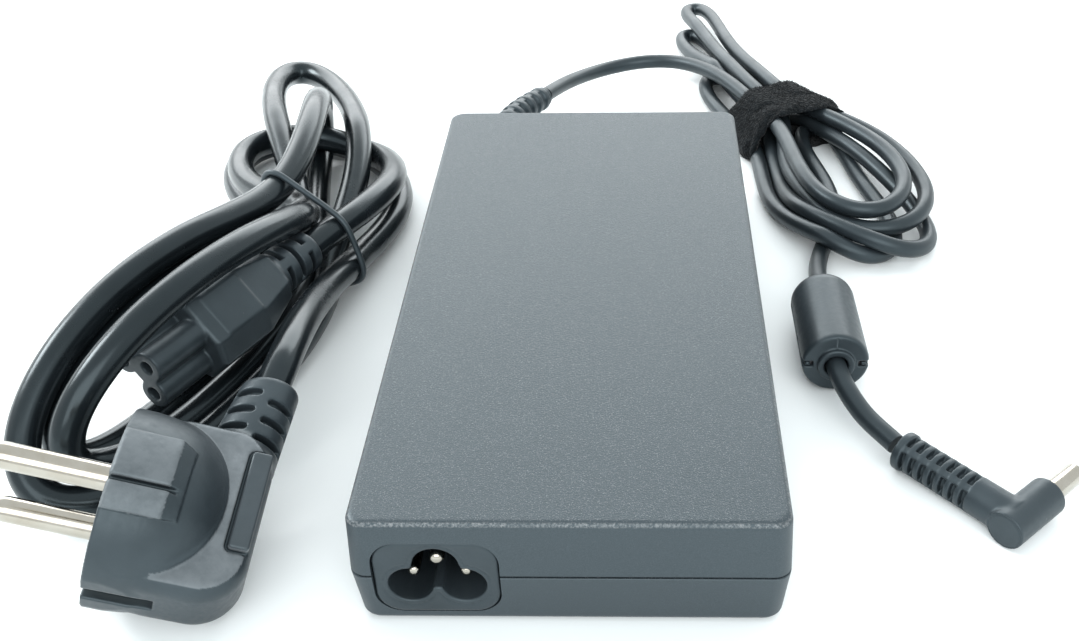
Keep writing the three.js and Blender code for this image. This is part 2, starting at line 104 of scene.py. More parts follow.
# ---- cord routes, listed
MAINS_CORD = 7.0
DC_CORD = 4.4
MAINS_ROUTE = [
    # connector boot, then the wide upper loop
    (-65.4, 18.8, 18.2), (-62.4, 25, 18.2), (-57.4, 36, 17.4), (-53, 48, 16), (-51.6, 60, 14.6), (-54.5, 72.5, 13),
    (-63, 84.5, 11), (-76, 92, 10.6), (-88, 95, 11.4), (-96.5, 90.5, 12.5), (-99, 78, 12.5), (-95.5, 65, 12.5),
    (-89, 54, 12.5), (-80, 44.5, 13),
    # inner lower loop, over the connector and back along the table
    (-72, 37, 15.5), (-67.6, 30.5, 20.5), (-69.3, 18.5, 26), (-73, 5, 30), (-77.5, -9, 32.3), (-82, -23, 33),
    (-87.8, -34, 31.5), (-94, -42, 27), (-98.5, -46.5, 21.5), (-101.8, -48.8, 15), (-102.5, -50.5, 9),
    (-99.5, -51.5, 4.8), (-94, -48.5, 3.5), (-87, -34, 3.5), (-80, -19, 3.5), (-74, -3, 3.5), (-70, 12, 3.6),
    (-69.2, 25, 4.5), (-71.2, 39, 6.4),
    # short upper loop that stands on its side
    (-73, 52, 6.2), (-76.5, 68, 5.8), (-79.5, 83, 6), (-81.5, 93, 8), (-81, 98, 15), (-78, 94, 23), (-75.4, 84, 27.6),
    (-73.6, 70, 29.2), (-72.6, 56.5, 29), (-72.8, 43.5, 27),
    # outer lower loop
    (-75.6, 30.5, 26), (-81, 18, 27.4), (-87, 5, 29.2), (-92.6, -8, 30.2), (-98.5, -21, 29), (-104, -31, 25),
    (-108, -38.5, 20), (-111.3, -44, 13.5), (-112, -49, 7.8), (-108.5, -53.5, 4.2), (-101, -56, 3.5), (-91, -49, 3.5),
    (-80, -33, 3.5), (-72.3, -17, 3.5), (-67.2, 0, 3.5), (-64.8, 15, 4), (-65.2, 30, 6),
    # tall upper loop
    (-63.6, 45, 9.4), (-62, 57, 11), (-62.4, 69, 12), (-65.6, 84, 13), (-71, 99, 13.6), (-78.8, 115.5, 14),
    (-87.3, 129.5, 14.5), (-95.3, 131, 15), (-97.8, 119, 15.5), (-93, 100, 16), (-87.5, 82, 16), (-82, 65, 15),
    (-75, 48.5, 13),
    # lower loop between the other two
    (-74.8, 31, 16.5), (-80, 14, 22), (-87.5, -2, 24.5), (-94.5, -15, 24), (-101, -26, 20), (-106.5, -35, 13),
    (-108, -43, 6.5), (-104, -47, 3.6), (-97, -39, 3.5), (-90.5, -24, 3.5), (-84, -8, 3.5), (-78.5, 8, 3.5),
    (-76, 22, 4.5), (-79, 40, 6.4),
    # second wide upper loop, on the table
    (-89, 55, 5), (-97.5, 67, 4.2), (-103.5, 81, 4), (-104, 94, 4), (-97, 102, 4), (-84, 102, 4), (-70, 96, 4),
    (-60, 85, 4), (-53, 72, 4.4), (-50.8, 58.5, 5), (-54, 45, 5.8),
    # lead to the plug
    (-59.2, 31, 6.8), (-61.6, 19, 9.2), (-61.6, 7, 12.2), (-60.4, -4, 16.5), (-59.4, -15, 20.2), (-59.4, -26, 21.9),
    (-60.6, -36.2, 20),
]
DC_ROUTE = [
    # strain relief, then the lead to the strap
    (-15.5, 115.6, 11.4), (-10, 131, 8.4), (-1, 146, 5), (10, 154, 4.6), (19.7, 154.6, 5.4), (27, 149.6, 6.6),
    (33.3, 142, 7.8), (39.9, 130.6, 8.8), (45, 119, 9), (50, 107, 8.8),
    # first lower loop, on top
    (53.6, 96, 9), (54.8, 79, 9.6), (57.2, 63, 10), (62, 51, 10.2), (69, 46, 10.2), (76.5, 50, 10), (82.3, 59.5, 10),
    (83.4, 70, 10), (79.3, 86, 10), (71, 99.5, 9.6), (62, 110, 9),
    # tall upper loop
    (56.2, 123, 9), (50.6, 138, 8.2), (46.8, 149, 7.4), (42, 169, 6.6), (38.8, 189, 5.6), (35.8, 201, 4.8),
    (31, 205, 4.2), (29.2, 197, 4.2), (31.4, 188, 4.8), (36, 169, 6), (39.6, 152, 7.4), (43.8, 137, 8.6),
    (49.4, 121, 8.8), (55, 108, 8.4),
    # second lower loop
    (53.4, 98, 6.8), (52.6, 86, 6.2), (54.2, 69, 6), (59.2, 54.2, 6), (67.3, 45.8, 6), (76.5, 45.2, 6),
    (84.6, 50.4, 6), (88.6, 61, 6.2), (88.4, 75, 6.6), (83.6, 91.5, 7), (74.5, 104.5, 7.6), (64, 112.5, 7.8),
    # second upper loop, under the first
    (57, 124.5, 5.6), (49, 138.5, 3.8), (43.4, 152, 2.8), (38, 168, 2.3), (34.6, 180, 2.3), (31, 187, 2.3),
    (27.6, 183.5, 2.3), (28.2, 175, 2.3), (31.4, 163, 2.3), (36.4, 149, 2.6), (41.4, 136, 3.6), (46, 122, 4.4),
    (50, 108, 4.6),
    # third lower loop, that comes back through the middle of the others
    (51, 95, 3.6), (51.6, 80, 3), (52.8, 65.5, 4.6), (56.5, 52, 6.8), (62.5, 42.6, 7), (69, 37.4, 6.4),
    (76.5, 36.4, 5), (84, 39.5, 3.6), (88.6, 47.5, 2.3), (87.6, 58, 3), (82.5, 69, 5.4), (77, 81, 6.4), (72, 93, 6.4),
    (66, 104, 4.8),
    # short upper loop
    (59, 116.5, 3.2), (53, 129, 2.4), (47, 141, 2.3), (40.8, 149.8, 2.3), (35, 150, 2.3), (33.2, 142, 2.3),
    (35, 131.5, 2.3), (38.6, 120.5, 2.3), (43.6, 108, 2.3),
    # last lower loop and tail
    (47.6, 95, 2.3), (48.6, 82, 2.3), (50.8, 66.5, 2.6), (55.4, 51.5, 4.6), (61.5, 40.4, 6.4), (68.8, 36.8, 4),
    (76.4, 39.4, 2.2), (79.6, 47, 2.2), (78.6, 58, 2.2), (75.6, 71, 2.2), (73, 84, 2.2), (71.4, 97, 2.2),
    (70, 108, 2.2), (66, 114, 2.2), (61.6, 110, 2.2), (61, 99, 2.2), (63, 86, 2.2), (65, 74, 2.2), (65.2, 63, 2.2),
    (62.4, 52, 2.2), (59, 43.5, 2.2), (57, 36, 2.8), (56, 27, 5.2), (55.2, 19, 7.2), (55, 12, 7.5),
]
DC_END = [(55, 0, 7.5), (55, -12, 7.5), (56, -18.5, 6.8), (59.3, -26, 4.9), (64.6, -34.2, 4)]


def smooth_path(points, steps=10):
    """Points along the uniform Catmull-Rom curve through some points."""
    p = np.array(points, float)
    p = np.vstack([2 * p[0] - p[1], p, 2 * p[-1] - p[-2]])
    t = (np.arange(steps) / steps)[:, None]
    out = []
    for a, b, c, d in zip(p, p[1:], p[2:], p[3:]):
        out.append(0.5 * (2 * b + (c - a) * t + (2 * a - 5 * b + 4 * c - d) * t**2 + (3 * b - a - 3 * c + d) * t**3))
    return np.vstack(out + [p[-2:-1]])


def arc_lengths(path):
    return np.concatenate([[0], np.cumsum(np.linalg.norm(np.diff(path, axis=0), axis=1))])


def spaced(path, step):
    s = arc_lengths(path)
    at = np.linspace(0, s[-1], max(2, round(s[-1] / step)) + 1)
    return np.stack([np.interp(at, s, path[:, k]) for k in range(3)], 1)


def off_rods(x, radius, rods):
    """Moves points out of tapered rods (start, end, start radius, end radius)."""
    for start, end, r0, r1 in rods:
        along = end - start
        t = np.clip((x - start) @ along / (along @ along), 0, 1)
        away = x - start - t[:, None] * along
        gap = np.linalg.norm(away, axis=1) + 1e-9
        short = r0 + (r1 - r0) * t + radius - gap
        x = x + away / gap[:, None] * np.maximum(short, 0)[:, None]
    return x


def off_case(x, radius, low, high):
    """Moves points that are in the case out through its nearest side wall."""
    room = np.stack([x[:, 0] - low[0], high[0] - x[:, 0], x[:, 1] - low[1], high[1] - x[:, 1]], 1) + radius
    inside = (room > 0).all(1) & (x[:, 2] < high[2] + radius)
    way = np.array([(-1, 0), (1, 0), (0, -1), (0, 1)])
    nearest = room.argmin(1)
    x[inside, :2] += (way[nearest] * room.min(1)[:, None])[inside]
    return x


def size_2d(offsets):
    return np.linalg.norm(offsets, axis=1)


def even_bend(x, reach, share):
    """Evens out how a line bends, comparing points that are some steps apart."""
    bend = np.zeros_like(x)
    bend[reach:-reach] = (x[:-2 * reach] + x[2 * reach:]) / 2 - x[reach:-reach]
    even = bend.copy()
    even[reach:-reach] = (bend[:-2 * reach] + bend[2 * reach:]) / 2
    return x + share * (bend - even)


STEP = 0.45  # distance between a laid cord's points, in diameters
APART = 1.01  # how far apart strands lie, in diameters
GRIP_HOLD, GRIP_REACH = 0.2, 13  # pull to the listed route at the strap or tie, and its reach in mm
FIRM, LOOSE = 0.022, 0.012  # pull elsewhere, while the strands part and while they come to rest
EVENING = ((4, 0.06), (2, 0.3), (1, 0.35))  # reach in points and share of each smoothing


def settle(route, diameter, grip, rods=(), rounds=150, fixed=3):
    """Lays a cord: its strands are pushed apart and off the rods, the case and the table, and its bends even out.
    It is held tightest round the grip, the (x, y) of its strap or tie."""
    home = spaced(smooth_path(route), diameter * STEP)
    x = home.copy()
    held = GRIP_HOLD * np.exp(-((size_2d(home[:, :2] - grip) / GRIP_REACH) ** 4))[:, None]
    radius = diameter / 2
    order = np.arange(len(x))
    other = np.abs(order[:, None] - order[None]) * STEP > 2.2
    low, high = box_mm("upper_case")[0] * (1, 1, 0), box_mm("upper_case")[1]
    for done in range(rounds):
        for reach, share in EVENING:
            x = even_bend(x, reach, share)
        x = x + np.maximum(held, FIRM if done < rounds * 0.6 else LOOSE) * (home - x)
        for _ in range(2):
            apart = x[:, None] - x[None]
            gap = np.linalg.norm(apart, axis=2) + 1e-9
            near = other & (gap < diameter * APART)
            push = (np.where(near, (diameter * APART - gap) / gap * 0.5, 0)[:, :, None] * apart).sum(1)
            x = x + push / np.maximum(1, near.sum(1) * 0.6)[:, None]
            x = off_case(off_rods(x, radius, rods), radius, low, high)
            x[:, 2] = np.maximum(x[:, 2], radius)
        x[:fixed], x[-fixed:] = home[:fixed], home[-fixed:]
    return x


def connector_rod(y0, y1, r0, r1):
    return (*CONNECTOR.out([(0, y0, 0), (0, y1, 0)]), r0, r1)


def plug_rod(start, end, r0, r1):
    return (*PLUG.out([start, end]), r0, r1)


MAINS_RODS = [
    connector_rod(2, 14, 8, 8.3), connector_rod(15, 27, 10, 9.8), connector_rod(27, 39.5, 9.8, 5.8),
    connector_rod(40, 52, 5, 4.6),
    plug_rod((-19, 0, 9.5), (0, 0, 9.5), 2.6, 2.6), plug_rod((-19, 0, -9.5), (0, 0, -9.5), 2.6, 2.6),
    plug_rod((4, -4, 0), (4, 4, 0), 17, 17), plug_rod((20.2, 12, 0), (22.3, 31, 0), 7, 5.6),
]


# ---- material nodes
SHEEN_TINT = (0.76, 0.93, 1.0, 1.0)


class Shader:
    """A short way to lay out a material's nodes."""

    def __init__(self, name):
        self.material = bpy.data.materials.new(name)
        self.material.use_nodes = True
        self.tree = self.material.node_tree
        self.tree.nodes.clear()
        self.surface = self.node("ShaderNodeBsdfPrincipled")
        output = self.node("ShaderNodeOutputMaterial")
        self.link(self.surface.outputs[0], output.inputs["Surface"])
        coordinates = self.node("ShaderNodeTexCoord")
        self.place, self.facing = coordinates.outputs["Object"], coordinates.outputs["Normal"]

    def node(self, kind, **settings):
        node = self.tree.nodes.new(kind)
        for key, value in settings.items():
            setattr(node, key, value)
        return node

    def link(self, source, target):
        if isinstance(source, bpy.types.NodeSocket):
            self.tree.links.new(source, target)
        else:
            target.default_value = source

    def set(self, **inputs):
        for key, value in inputs.items():
            self.link(value, self.surface.inputs[key.replace("_", " ")])

    def stretched(self, scale):
        mapping = self.node("ShaderNodeMapping")
        self.link(self.place, mapping.inputs["Vector"])
        self.link(scale, mapping.inputs["Scale"])
        return mapping.outputs[0]

    def noise(self, scale, detail=3.0, rough=0.55, at=None):
        node = self.node("ShaderNodeTexNoise")
        self.link(at or self.place, node.inputs["Vector"])
        self.link(scale, node.inputs["Scale"])
        self.link(detail, node.inputs["Detail"])
        self.link(rough, node.inputs["Roughness"])
        return node.outputs["Fac"]

    def cells(self, scale, feature="F1", at=None):
        node = self.node("ShaderNodeTexVoronoi", feature=feature)
        self.link(at or self.place, node.inputs["Vector"])
        self.link(scale, node.inputs["Scale"])
        return node.outputs["Distance"]

    def span(self, value, low, high, to_low=0.0, to_high=1.0):
        node = self.node("ShaderNodeMapRange")
        for index, v in enumerate((value, low, high, to_low, to_high)):
            self.link(v, node.inputs[index])
        return node.outputs[0]

    def math(self, how, a, b):
        node = self.node("ShaderNodeMath", operation=how)
        self.link(a, node.inputs[0])
        self.link(b, node.inputs[1])
        return node.outputs[0]

    def times(self, a, b):
        return self.math("MULTIPLY", a, b)

    def plus(self, a, b):
        return self.math("ADD", a, b)

    def mix(self, factor, a, b):
        node = self.node("ShaderNodeMix", data_type="RGBA")
        self.link(factor, node.inputs["Factor"])
        self.link(a, node.inputs["A"])
        self.link(b, node.inputs["B"])
        return node.outputs["Result"]

    def vertical(self, vector):
        apart = self.node("ShaderNodeSeparateXYZ")
        self.link(vector, apart.inputs[0])
        return apart.outputs[2]

    def up(self):
        """How far the skin faces up in the object's own frame, before any bump."""
        return self.vertical(self.facing)

    def height(self):
        return self.vertical(self.place)

    def bump(self, height, strength, distance, below=None):
        node = self.node("ShaderNodeBump")
        self.link(strength, node.inputs["Strength"])
        self.link(distance, node.inputs["Distance"])
        self.link(height, node.inputs["Height"])
        if below is not None:
            self.link(below, node.inputs["Normal"])
        return node.outputs[0]

    def edge(self, radius, low, high):
        """About 1 near sharp edges and 0 on flat or gently curved faces."""
        bevel = self.node("ShaderNodeBevel", samples=6)
        self.link(radius, bevel.inputs["Radius"])
        geometry = self.node("ShaderNodeNewGeometry")
        dot = self.node("ShaderNodeVectorMath", operation="DOT_PRODUCT")
        self.link(bevel.outputs[0], dot.inputs[0])
        self.link(geometry.outputs["Normal"], dot.inputs[1])
        return self.span(dot.outputs["Value"], high, low)


def grey(value, tint=(0.74, 1.0, 1.2)):
    """A cool grey, less blue the lighter it is."""
    pull = min(value * 4, 1)
    return tuple(value * (t + (1 - t) * pull) for t in tint) + (1.0,)


def case_material():
    """Spark-textured moulding on top, smoother down the sides, with painted glints on the top's texture and a painted,
    broken highlight along the rounded top rim, partly rubbed wear.
    """
    s = Shader("case_plastic")
    up = s.up()
    level = s.span(up, 0.9, 0.99)
    grain = s.noise(4300, 2.0, 0.6)
    pits = s.cells(3000)
    cloud = s.noise(45, 3.0)
    # light specks over the grain, strongest where the skin faces up: painted glints of the spark texture
    painted_glints = s.times(s.span(s.noise(4600, 1.0), 0.58, 0.74), s.span(level, 0, 1, 0.12, 1.0))
    base = s.mix(s.span(grain, 0.35, 0.7), grey(0.024), grey(0.046))
    base = s.mix(s.span(cloud, 0.3, 0.7, 0.0, 0.35), base, grey(0.036))
    base = s.mix(s.times(painted_glints, 0.55), base, grey(0.20))
    # lighter, broken band on the rounding near the top: a painted highlight on the rim, partly rubbed wear
    rim = s.times(s.span(up, 0.3, 0.5), s.span(up, 0.93, 0.80))
    broken = s.times(s.span(s.noise(2100, 3.0, 0.7), 0.42, 0.66), s.span(s.noise(60, 3.0), 0.3, 0.6, 0.45, 1.0))
    edge_wear_and_highlight = s.times(s.times(rim, broken), s.span(s.height(), 20 * MM, 22 * MM))
    base = s.mix(s.times(edge_wear_and_highlight, 0.75), base, grey(0.24))
    height = s.plus(grain, s.times(pits, 0.7))
    relief = s.bump(height, s.span(level, 0, 1, 0.06, 0.62), 0.00013)
    s.set(Base_Color=base, Roughness=s.span(grain, 0.3, 0.75, 0.36, 0.54), Specular_IOR_Level=0.55, Normal=relief)
    s.set(Specular_Tint=SHEEN_TINT)
    return s.material


def moulded_material(name, dark=0.018, light=0.032, rough=0.40, grain_scale=900, grain=0.00005, edge_wear_and_highlight=0.25):
    """Satin black moulding: fine grain, faint clouds, lighter rubbed edges, a few specks of dust, and patches that the
    mesh's wear attribute marks as scuffed and pitted."""
    s = Shader(name)
    scuffed = s.node("ShaderNodeAttribute", attribute_name="wear").outputs["Fac"]
    fine = s.noise(grain_scale, 3.0, 0.6)
    cloud = s.noise(70, 4.0)
    base = s.mix(s.span(cloud, 0.3, 0.7), grey(dark), grey(light))
    dust = s.span(s.cells(260), 0.03, 0.012)
    wear = s.times(s.edge(0.0005, 0.82, 0.98), s.span(s.noise(500, 3.0), 0.4, 0.62))
    base = s.mix(s.times(wear, edge_wear_and_highlight), base, grey(0.2))
    patchy = s.times(scuffed, s.span(s.noise(260, 5.0, 0.7), 0.25, 0.6, 0.55, 1.0))
    base = s.mix(patchy, base, grey(0.17))
    base = s.mix(s.times(dust, 0.35), base, grey(0.45))
    pits = s.times(s.span(s.cells(620), 0.0, 0.4), scuffed)
    s.set(
        Base_Color=base,
        Roughness=s.plus(s.span(s.plus(fine, cloud), 0.7, 1.3, rough - 0.07, rough + 0.09),
                         s.times(scuffed, 0.12)),
        Normal=s.bump(pits, 0.35, 0.0002, below=s.bump(fine, 0.5, grain)),
        Specular_Tint=SHEEN_TINT,
    )
    return s.material


def jacket_material(name, dark, light, rough, bump, gloss=0.5):
    s = Shader(name)
    fine = s.noise(1300, 2.0)
    broad = s.noise(90, 2.0)
    smear = s.span(s.noise(95, 5.0, 0.7), 0.35, 0.7)
    base = s.mix(s.span(broad, 0.3, 0.7), grey(dark), grey(light))
    dust = s.span(s.cells(210), 0.022, 0.008)
    base = s.mix(s.times(dust, 0.3), base, grey(0.5))
    relief = s.bump(fine, 0.3, bump, below=s.bump(broad, 0.2, bump * 4))
    s.set(Base_Color=base, Roughness=s.span(smear, 0, 1, rough - 0.04, rough + 0.06), Normal=relief)
    s.set(Specular_IOR_Level=gloss, Specular_Tint=SHEEN_TINT)
    return s.material


def metal_material(name, colour, rough, scale):
    s = Shader(name)
    lines = s.noise(1.0, 4.0, 0.6, at=s.stretched(scale))
    tarnish = s.span(s.noise(220, 4.0), 0.4, 0.75)
    base = s.mix(s.times(tarnish, 0.35), (*colour, 1.0), (colour[0] * 0.62, colour[1] * 0.56, colour[2] * 0.45, 1.0))
    s.set(Base_Color=base, Metallic=1.0, Roughness=s.span(lines, 0.3, 0.7, rough, rough + 0.14))
    s.set(Normal=s.bump(lines, 0.2, 0.000006))
    return s.material


def fabric_material():
    s = Shader("strap_fabric")
    weave = s.cells(1500)
    fluff = s.noise(700, 5.0, 0.7)
    base = s.mix(s.span(fluff, 0.3, 0.75), grey(0.003), grey(0.014))
    lint = s.span(s.noise(1900, 1.0), 0.72, 0.78)
    base = s.mix(s.times(lint, 0.25), base, grey(0.3))
    s.set(Base_Color=base, Roughness=0.95, Specular_IOR_Level=0.08, Sheen_Weight=0.08, Sheen_Roughness=0.5)
    s.set(Normal=s.bump(s.plus(weave, fluff), 0.9, 0.0004))
    return s.material


LOOK = {
    "case_plastic": case_material(),
    "black_plastic": moulded_material("black_plastic"),
    "plated_metal": metal_material("plated_metal", (0.40, 0.375, 0.33), 0.10, (120, 1200, 1200)),
    "dc_cord_jacket": jacket_material("dc_cord_jacket", 0.013, 0.022, 0.40, 0.00001),
    "mains_cord_jacket": jacket_material("mains_cord_jacket", 0.006, 0.010, 0.24, 0.000004, gloss=0.4),
    "strap_fabric": fabric_material(),
}


# ---- putting pieces in the scene
def hand_over(piece, body, nodes):
    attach(piece, body)
    if nodes:
        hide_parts(*nodes)
    return piece


def shade(mesh, sharp):
    """Smooth shading, with edges over `sharp` degrees left hard."""
    mesh.polygons.foreach_set("use_smooth", np.ones(len(mesh.polygons), bool))
    if sharp < 180:
        mesh.set_sharp_from_angle(angle=math.radians(sharp))


def mesh_of(name, verts, faces):
    mesh = bpy.data.meshes.new(name)
    mesh.from_pydata((np.asarray(verts) * MM).tolist(), [], [list(map(int, face)) for face in faces])
    return mesh


def put(name, verts, faces, body, slot, nodes=(), look=None, sharp=180.0):
    mesh = mesh_of(name, verts, faces)
    mesh.validate()
    shade(mesh, sharp)
    mesh.materials.append(look or LOOK[slot])
    piece = bpy.data.objects.new(name, mesh)
    bpy.context.scene.collection.objects.link(piece)
    return hand_over(piece, body, nodes)


def put_cord(name, path, diameter, body, slot, nodes=(), sides=5, closed=False, look=None):
    data = bpy.data.curves.new(name, "CURVE")
    data.dimensions = "3D"
    data.bevel_depth = diameter / 2 * MM
    data.bevel_resolution = sides
    data.use_fill_caps = True
    data.resolution_u = 2
    line = data.splines.new("NURBS")
    line.points.add(len(path) - 1)
    line.points.foreach_set("co", np.hstack([np.asarray(path) * MM, np.ones((len(path), 1))]).ravel())
    line.order_u = 4
    line.use_endpoint_u = not closed
    line.use_cyclic_u = closed
    data.materials.append(look or LOOK[slot])
    piece = bpy.data.objects.new(name, data)
    bpy.context.scene.collection.objects.link(piece)
    return hand_over(piece, body, nodes)


# ---- the two cords
TIE_GRIP, STRAP_GRIP = (-70, 34), (54.5, 110)
mains_path = settle(MAINS_ROUTE, MAINS_CORD, TIE_GRIP, MAINS_RODS)
dc_tail = spaced(smooth_path([DC_ROUTE[-1]] + DC_END), 2.0)[1:]
dc_path = np.vstack([settle(DC_ROUTE, DC_CORD, STRAP_GRIP), dc_tail])
mains_cord = put_cord(
    "mains_cord", mains_path, MAINS_CORD, "mains_lead", "mains_cord_jacket",
    ["mains_cord_hank", "mains_cord_plug_end"],
)
dc_cord = put_cord(
    "dc_cord", dc_path, DC_CORD, "adapter", "dc_cord_jacket", ["dc_cord_lead", "dc_cord_hank", "dc_cord_tail"],
)

# ---- distance fields
# A field gives, for points (n, 3), the distance to a solid's skin, negative inside.


def size(*parts):
    return np.sqrt(sum(part**2 for part in parts))


def flat_box(a, b, half_a, half_b, edge):
    """Distance to a rounded rectangle centred on 0, for two coordinates."""
    qa, qb = np.abs(a) - half_a + edge, np.abs(b) - half_b + edge
    return size(np.maximum(qa, 0), np.maximum(qb, 0)) + np.minimum(np.maximum(qa, qb), 0) - edge


def between(flat, along, low, high, edge=0.0):
    """A flat outline's distance, kept between two planes, with rounded rims."""
    qa, qb = flat + edge, np.abs(along - (low + high) / 2) - (high - low) / 2 + edge
    return size(np.maximum(qa, 0), np.maximum(qb, 0)) + np.minimum(np.maximum(qa, qb), 0) - edge


def rod(p, axis, low, high, radius, at=(0.0, 0.0), edge=0.0):
    """A cylinder along axis 0, 1 or 2; at is where it is in the other two coordinates."""
    u, v = [p[:, k] for k in range(3) if k != axis]
    return between(size(u - at[0], v - at[1]) - radius, p[:, axis], low, high, edge)


def outline(a, b, corners):
    """Signed distance to a closed polygon given as corners."""
    pts = np.array(corners, float)
    best = np.full(len(a), 1e9)
    sign = np.ones(len(a))
    for (x0, y0), (x1, y1) in zip(pts, np.roll(pts, 1, 0)):
        ex, ey = x1 - x0, y1 - y0
        wx, wy = a - x0, b - y0
        t = np.clip((wx * ex + wy * ey) / (ex * ex + ey * ey + 1e-12), 0, 1)
        best = np.minimum(best, (wx - ex * t) ** 2 + (wy - ey * t) ** 2)
        up, down, left = b >= y0, b < y1, ex * wy > ey * wx
        sign = np.where((up & down & left) | (~up & ~down & ~left), -sign, sign)
    return sign * np.sqrt(best)


def join(a, b, k=0.0):
    """Union; k is the fillet's size."""
    if k <= 0:
        return np.minimum(a, b)
    h = np.clip(0.5 + 0.5 * (b - a) / k, 0, 1)
    return b * (1 - h) + a * h - k * h * (1 - h)


def cut(a, b, k=0.0):
    return -join(-a, b, k)


def sampled(field, low, counts, cell, block_size=4, safety=2.0):
    """A field on a grid, worked out only in the blocks that its surface may cross."""
    blocks = -(-counts // block_size)
    corner = np.stack(np.meshgrid(*[np.arange(b) * block_size for b in blocks], indexing="ij"), -1).reshape(-1, 3)
    middle = field(low + cell * (corner + (block_size - 1) / 2))
    reach = cell * block_size * 0.87 * safety
    value = np.repeat(middle, block_size**3).reshape(-1, block_size**3)
    inner = np.stack(np.meshgrid(*[np.arange(block_size)] * 3, indexing="ij"), -1).reshape(-1, 3)
    close = np.abs(middle) < reach
    points = (corner[close][:, None] + inner[None]).reshape(-1, 3)
    value[close] = field(low + cell * points).reshape(-1, block_size**3)
    value = value.reshape(*blocks, *[block_size] * 3).transpose(0, 3, 1, 4, 2, 5).reshape(blocks * block_size)
    return value[:counts[0], :counts[1], :counts[2]]


def skin(field, low, high, cell):
    """Vertices and quads of the surface where a field is 0."""
    low, high = np.array(low, float) - 2 * cell, np.array(high, float) + 2 * cell
    counts = np.ceil((high - low) / cell).astype(int) + 1
    value = sampled(field, low, counts, cell)
    inside = value < 0
    steps = np.array([(i, j, k) for i in (0, 1) for j in (0, 1) for k in (0, 1)])
    n = counts - 1
    total = sum(inside[i:i + n[0], j:j + n[1], k:k + n[2]].astype(int) for i, j, k in steps)
    cells = np.argwhere((total > 0) & (total < 8))
    index = np.full(n, -1)
    index[tuple(cells.T)] = np.arange(len(cells))
    spot, hits = np.zeros((len(cells), 3)), np.zeros(len(cells))
    for axis in range(3):
        unit = np.eye(3, dtype=int)[axis]
        for corner in steps[steps[:, axis] == 0]:
            a = value[tuple((cells + corner).T)]
            b = value[tuple((cells + corner + unit).T)]
            crossing = (a < 0) != (b < 0)
            t = np.where(crossing, a / np.where(crossing, a - b, 1), 0)
            spot += np.where(crossing[:, None], corner + t[:, None] * unit, 0)
            hits += crossing
    verts = low + cell * (cells + spot / hits[:, None])
    quads = []
    for axis in range(3):
        unit = np.eye(3, dtype=int)[axis]
        u, w = np.eye(3, dtype=int)[(axis + 1) % 3], np.eye(3, dtype=int)[(axis + 2) % 3]
        ends = counts - unit
        a = inside[:ends[0], :ends[1], :ends[2]]
        b = inside[unit[0]:, unit[1]:, unit[2]:]
        at = np.argwhere(a != b)
        quad = np.stack([index[tuple((at - s).T)] for s in (u + w, w, 0 * u, u)], 1)
        outward = a[tuple(at.T)]
        quads.append(np.where(outward[:, None], quad, quad[:, ::-1]))
    for _ in range(3):
        d = field(verts)
        reach = cell * 0.05
        slope = np.stack([(field(verts + reach * e) - field(verts - reach * e)) / (2 * reach) for e in np.eye(3)], 1)
        steep = np.maximum((slope**2).sum(1), 0.25)
        verts = verts - np.clip(d / steep, -0.5 * cell, 0.5 * cell)[:, None] * slope
    return verts, np.vstack(quads)


def put_field(name, field, low, high, cell, place, body, slot, nodes=(), look=None, wear=None):
    """A piece from a field; wear(points) gives how rubbed its skin is, 0 to 1."""
    verts, quads = skin(field, low, high, cell * (1))
    piece = put(name, place.out(verts), quads, body, slot, nodes, look)
    if wear:
        layer = piece.data.attributes.new("wear", "FLOAT", "POINT")
        layer.data.foreach_set("value", wear(verts).astype(np.float32))
    return piece


# ---- turned and lofted pieces
def lathe(profile, axis, sides=48):
    """Vertices and faces of a profile [(radius, distance)] turned about a local axis."""
    rings = []
    angles = np.linspace(0, 2 * math.pi, sides, endpoint=False)
    for radius, along in profile:
        ring = np.zeros((sides, 3))
        ring[:, (axis + 1) % 3] = radius * np.cos(angles)
        ring[:, (axis + 2) % 3] = radius * np.sin(angles)
        ring[:, axis] = along
        rings.append(ring)
    return rings


def skin_rings(rings, closed=False):
    """Faces that join rings of equal size, with flat ends unless the last ring meets the first."""
    n = len(rings[0])
    faces = []
    last = len(rings) if closed else len(rings) - 1
    for i in range(last):
        a, b = i * n, (i + 1) % len(rings) * n
        faces += [(a + j, a + (j + 1) % n, b + (j + 1) % n, b + j) for j in range(n)]
    if not closed:
        faces.append(tuple(reversed(range(n))))
        faces.append(tuple((len(rings) - 1) * n + j for j in range(n)))
    return np.vstack(rings), faces


def facing_out(verts, faces):
    """The faces, turned round when they enclose a negative volume."""
    volume = 0.0
    for face in faces:
        a = verts[face[0]]
        for j in range(1, len(face) - 1):
            volume += a @ np.cross(verts[face[j]], verts[face[j + 1]])
    return faces if volume > 0 else [tuple(reversed(face)) for face in faces]


def put_rings(name, rings, place, body, slot, nodes=(), closed=False, sharp=30.0, look=None):
    verts, faces = skin_rings(rings, closed)
    verts = place.out(verts)
    return put(name, verts, facing_out(verts - verts.mean(0), faces), body, slot, nodes, look, sharp)


def rounded_plan(half_x, half_y, corner, z, steps=10):
    """A ring round a rectangle with rounded corners, in plan."""
    ring = []
    for quarter, (sx, sy) in enumerate([(1, 1), (-1, 1), (-1, -1), (1, -1)]):
        for angle in np.linspace(quarter, quarter + 1, steps + 1) * math.pi / 2:
            ring.append((sx * (half_x - corner) + corner * math.cos(angle),
                         sy * (half_y - corner) + corner * math.sin(angle), z))
    return np.array(ring)


def weigh_normals(piece):
    modifier = piece.modifiers.new("weighted_normals", "WEIGHTED_NORMAL")
    modifier.keep_sharp = True
    modifier.weight = 80


def cutter(verts, faces):
    piece = bpy.data.objects.new("cutter", mesh_of("cutter", verts, facing_out(verts - verts.mean(0), faces)))
    bpy.context.scene.collection.objects.link(piece)
    return piece


